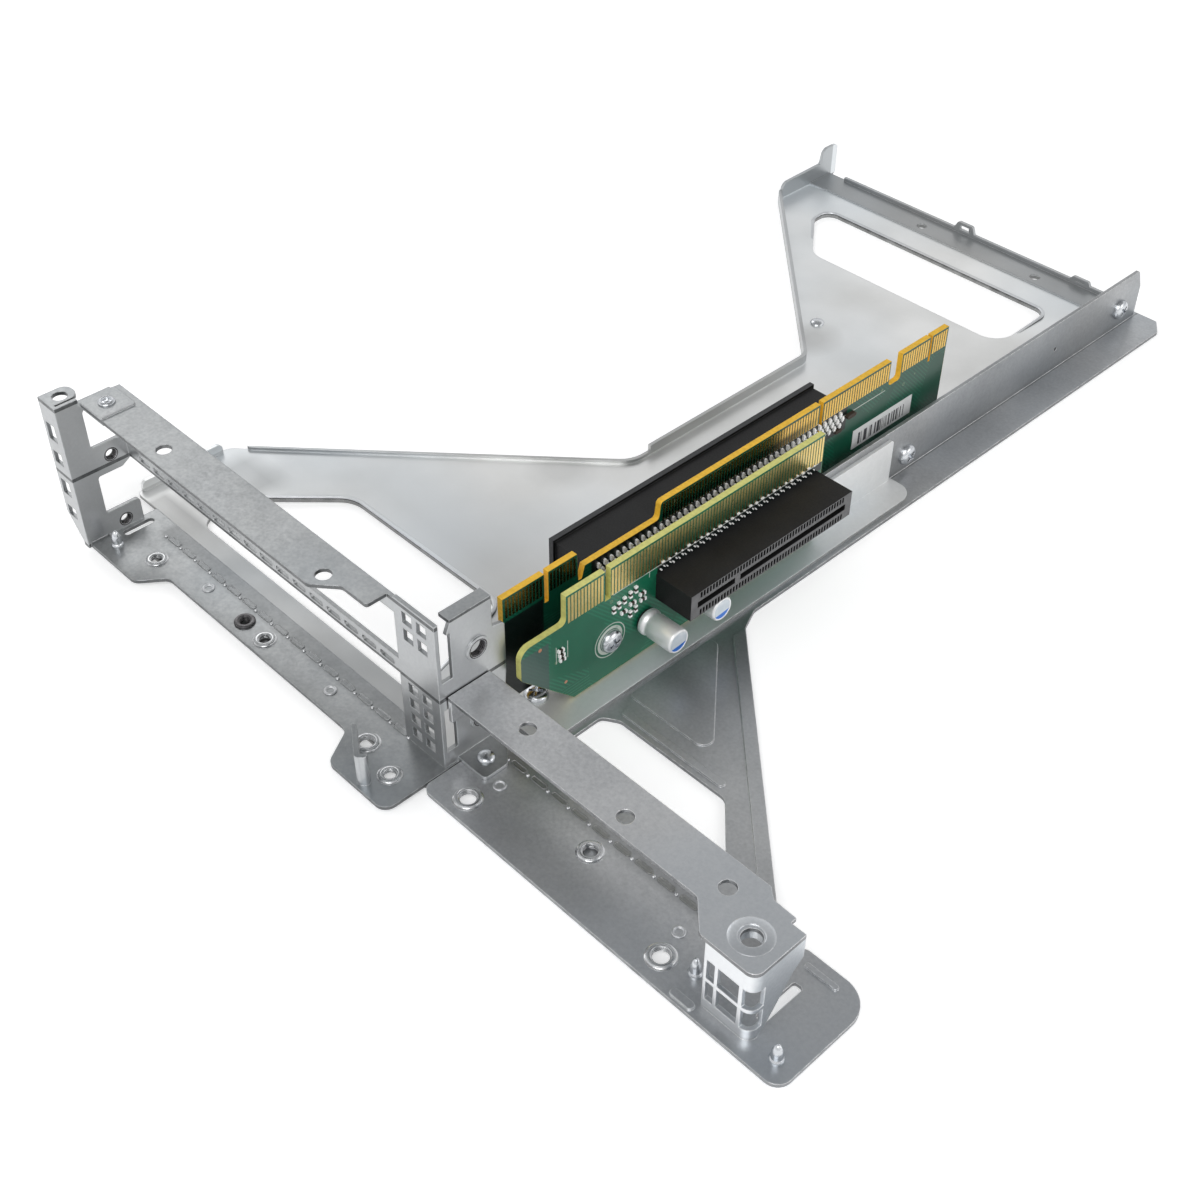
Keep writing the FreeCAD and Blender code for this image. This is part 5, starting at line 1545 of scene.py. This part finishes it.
    def build(self) -> None:
        """Make the boards' looks."""
        for node, finish in (("long_riser_board", LONG_BOARD), ("short_riser_board", SHORT_BOARD),
                             ("board_label", LABEL)):
            Workshop.dress(node, finish)
        self.fingers("long_board_fingers", "long_board_contacts", self.long_groups, self.long_finger_top,
                     self.long_heights, self.long_faces, LONG_GOLD)
        self.fingers("short_board_fingers", "short_board_contacts", self.short_groups, self.short_finger_top,
                     self.short_heights, self.short_faces, SHORT_GOLD)
        self.pins()
        self.small_parts()


@dataclass
class Slots:
    """The two card slots with their contact springs.

    Springs are (name, low x, high x, first y, count, pitch, the slit's height), in millimetres.
    """

    rows: tuple[tuple[str, float, float, float, int, float, float], ...] = (
        ("short_slot_springs", 9.5, 13.6, 64.0, 50, 1.008, 20.5),
        ("long_slot_springs", -14.6, -10.5, 50.4, 82, 1.012, 26.4))
    off_middle: float = 0.78
    lean: float = 0.03

    def build(self) -> None:
        """Make the slots' looks, with two rows of springs beside each slit."""
        Workshop.dress("x16_slot_housing", BLACK_SLOT)
        Workshop.dress("x8_slot_housing", SHORT_SLOT)
        for name, low, high, start, count, pitch, middle in self.rows:
            meshes = []
            for side in (-1, 1):
                spot = ((low + high) / 2, start, middle + side * self.off_middle)
                meshes.append(Workshop.row(Shape.BOX, count, spot, (0, pitch, 0), (high - low, 0.4, 0.16),
                                           SHORT_GOLD, turn=(0, side * self.lean, 0)))
            Workshop.piece(name, meshes, SHORT_GOLD, Slot.GOLD, smooth=False)


@dataclass
class Capacitors:
    """The two can capacitors that lie on the short board; profiles are (radius, height), in millimetres."""

    root: float = 4.9
    spots: Outline = field(default_factory=lambda: [(57.5, 12.5), (71.9, 13.5)])
    can: Outline = field(default_factory=lambda: [
        (0, -0.4), (3.0, -0.4), (3.34, -0.1), (3.38, 0.5), (3.3, 1.0), (2.96, 1.45), (2.9, 1.75), (3.0, 2.05),
        (3.2, 2.4), (3.2, 9.3), (3.12, 9.65), (2.9, 9.86), (2.68, 9.86), (2.6, 9.74), (0, 9.74)])
    seal: Outline = field(default_factory=lambda: [
        (0, -1.0), (2.7, -1.0), (2.95, -0.8), (2.95, -0.4), (0, -0.4)])
    end: Outline = field(default_factory=lambda: [
        (0, 9.7), (2.58, 9.7), (2.58, 9.78), (2.4, 9.8), (0, 9.8)])

    def build(self) -> None:
        """Make the cans with their crimped roots, seals and printed ends."""
        places = [(self.root, y, z) for y, z in self.spots]
        for name, profile, steps, finish, slot, node in (
                ("can_set", self.can, 40, CAN_ALUMINIUM, Slot.CAN, "capacitor_cans"),
                ("seal_set", self.seal, 28, SEAL, Slot.PLASTIC, "capacitor_bases"),
                ("can_ends", self.end, 40, CAN_END, Slot.CAN, "")):
            made = Workshop.copies(Workshop.lathe(name, profile, steps), places, finish, (0, QUARTER, 0))
            Workshop.piece(name, made, finish, slot, node)


@dataclass
class Studio:
    """Floor, soft light and the camera at the photograph's angle; angles in degrees, places in metres.

    Lamps are (name, place, aim, width, watts).
    """

    camera_spot: Point = (0.1986, -0.1468, 0.2698)
    azimuth: float = 45.74
    elevation: float = 41.74
    roll: float = 0.401
    focal: float = 49.70
    sensor: float = 36.0
    floor_reach: float = 6.0
    floor_level: float = -0.0003
    floor_glow: float = 0.4
    lamps: tuple[tuple[str, Point, Point, float, float], ...] = (
        ("key", (0.35, -0.6, 0.9), (-0.02, 0.1, 0.0), 0.7, 4.2),
        ("side", (0.95, 0.5, 0.5), (0.0, 0.1, 0.02), 0.6, 1.4),
        ("far", (-0.9, 0.3, 0.7), (-0.05, 0.15, 0.0), 0.5, 1.0))

    def camera(self) -> None:
        """Set the camera up."""
        a, e, t = (math.radians(v) for v in (self.azimuth, self.elevation, self.roll))
        ahead = Vector((-math.sin(a) * math.cos(e), math.cos(a) * math.cos(e), -math.sin(e)))
        right = ahead.cross(Vector((0, 0, 1))).normalized()
        up = right.cross(ahead)
        across, above = right * math.cos(t) + up * math.sin(t), up * math.cos(t) - right * math.sin(t)
        data = bpy.data.cameras.new("camera")
        data.lens, data.sensor_width = self.focal, self.sensor
        data.clip_start, data.clip_end = 0.01, 20.0
        item = Workshop.show("camera", data)
        item.matrix_world = Matrix((across, above, -ahead)).transposed().to_4x4()
        item.location = self.camera_spot
        bpy.context.scene.camera = item

    def floor(self) -> None:
        """Lay the pale floor."""
        build = bmesh.new()
        far, z = self.floor_reach, self.floor_level
        corners = ((-far, -far), (far, -far), (far, far), (-far, far))
        build.faces.new([build.verts.new((x, y, z)) for x, y in corners])
        item = Workshop.show("floor", Workshop.kept("floor", build))
        material = bpy.data.materials.new("pale_floor")
        material.use_nodes = True
        material.node_tree.nodes.clear()
        w = Wiring(material.node_tree)
        soft = w.add("ShaderNodeBsdfDiffuse", {"Color": (0.86, 0.86, 0.86)}).outputs[0]
        rays = w.add("ShaderNodeLightPath").outputs
        seen = w.math("MAXIMUM", rays["Is Camera Ray"], rays["Is Glossy Ray"])
        keys = {"Color": (1.0, 1.0, 1.0), "Strength": w.times(seen, self.floor_glow)}
        both = w.add("ShaderNodeAddShader", {0: soft, 1: w.add("ShaderNodeEmission", keys).outputs[0]})
        w.add("ShaderNodeOutputMaterial", {"Surface": both.outputs[0]})
        item.data.materials.append(material)

    def surroundings(self) -> None:
        """Make the sky: pale low down, darker overhead, and plain white where the camera sees it."""
        world = bpy.data.worlds.new("surroundings")
        bpy.context.scene.world = world
        world.use_nodes = True
        world.node_tree.nodes.clear()
        w = Wiring(world.node_tree)
        height = w.parts(w.place("Generated"))[2]
        low_sky = w.mix(w.span(height, -0.1, 0.4), (0.6, 0.61, 0.63), (0.94, 0.94, 0.94))
        sky = w.mix(w.span(height, 0.56, 0.8), low_sky, (0.34, 0.345, 0.35))
        rays = w.add("ShaderNodeLightPath").outputs
        seen = w.math("MAXIMUM", rays["Is Camera Ray"], rays["Is Transmission Ray"])
        shade = w.add("ShaderNodeBackground", {"Color": w.mix(seen, sky, (1.0, 1.0, 1.0)), "Strength": 1.0})
        w.add("ShaderNodeOutputWorld", {"Surface": shade.outputs[0]})

    def light(self) -> None:
        """Hang the soft lamps."""
        for name, spot, aim, wide, watts in self.lamps:
            data = bpy.data.lights.new(name, "AREA")
            data.shape, data.size, data.energy = "SQUARE", wide, watts
            item = Workshop.show(name, data)
            item.location = spot
            item.rotation_euler = (Vector(aim) - Vector(spot)).to_track_quat("-Z", "Y").to_euler()

    def build(self) -> None:
        """Make the studio."""
        for step in (self.camera, self.floor, self.surroundings, self.light):
            step()
        bpy.context.scene.view_settings.view_transform = "Standard"


def main() -> None:
    """Build every sub-assembly in order."""
    logging.basicConfig(level=logging.INFO, format="%(name)s: %(message)s")
    for part in (Metalwork(), Fasteners(), Boards(), Slots(), Capacitors(), Studio()):
        part.build()
        log.info("%s is finished", type(part).__name__)
    log.info("sizes noted")


if __name__ == "__main__":
    main()
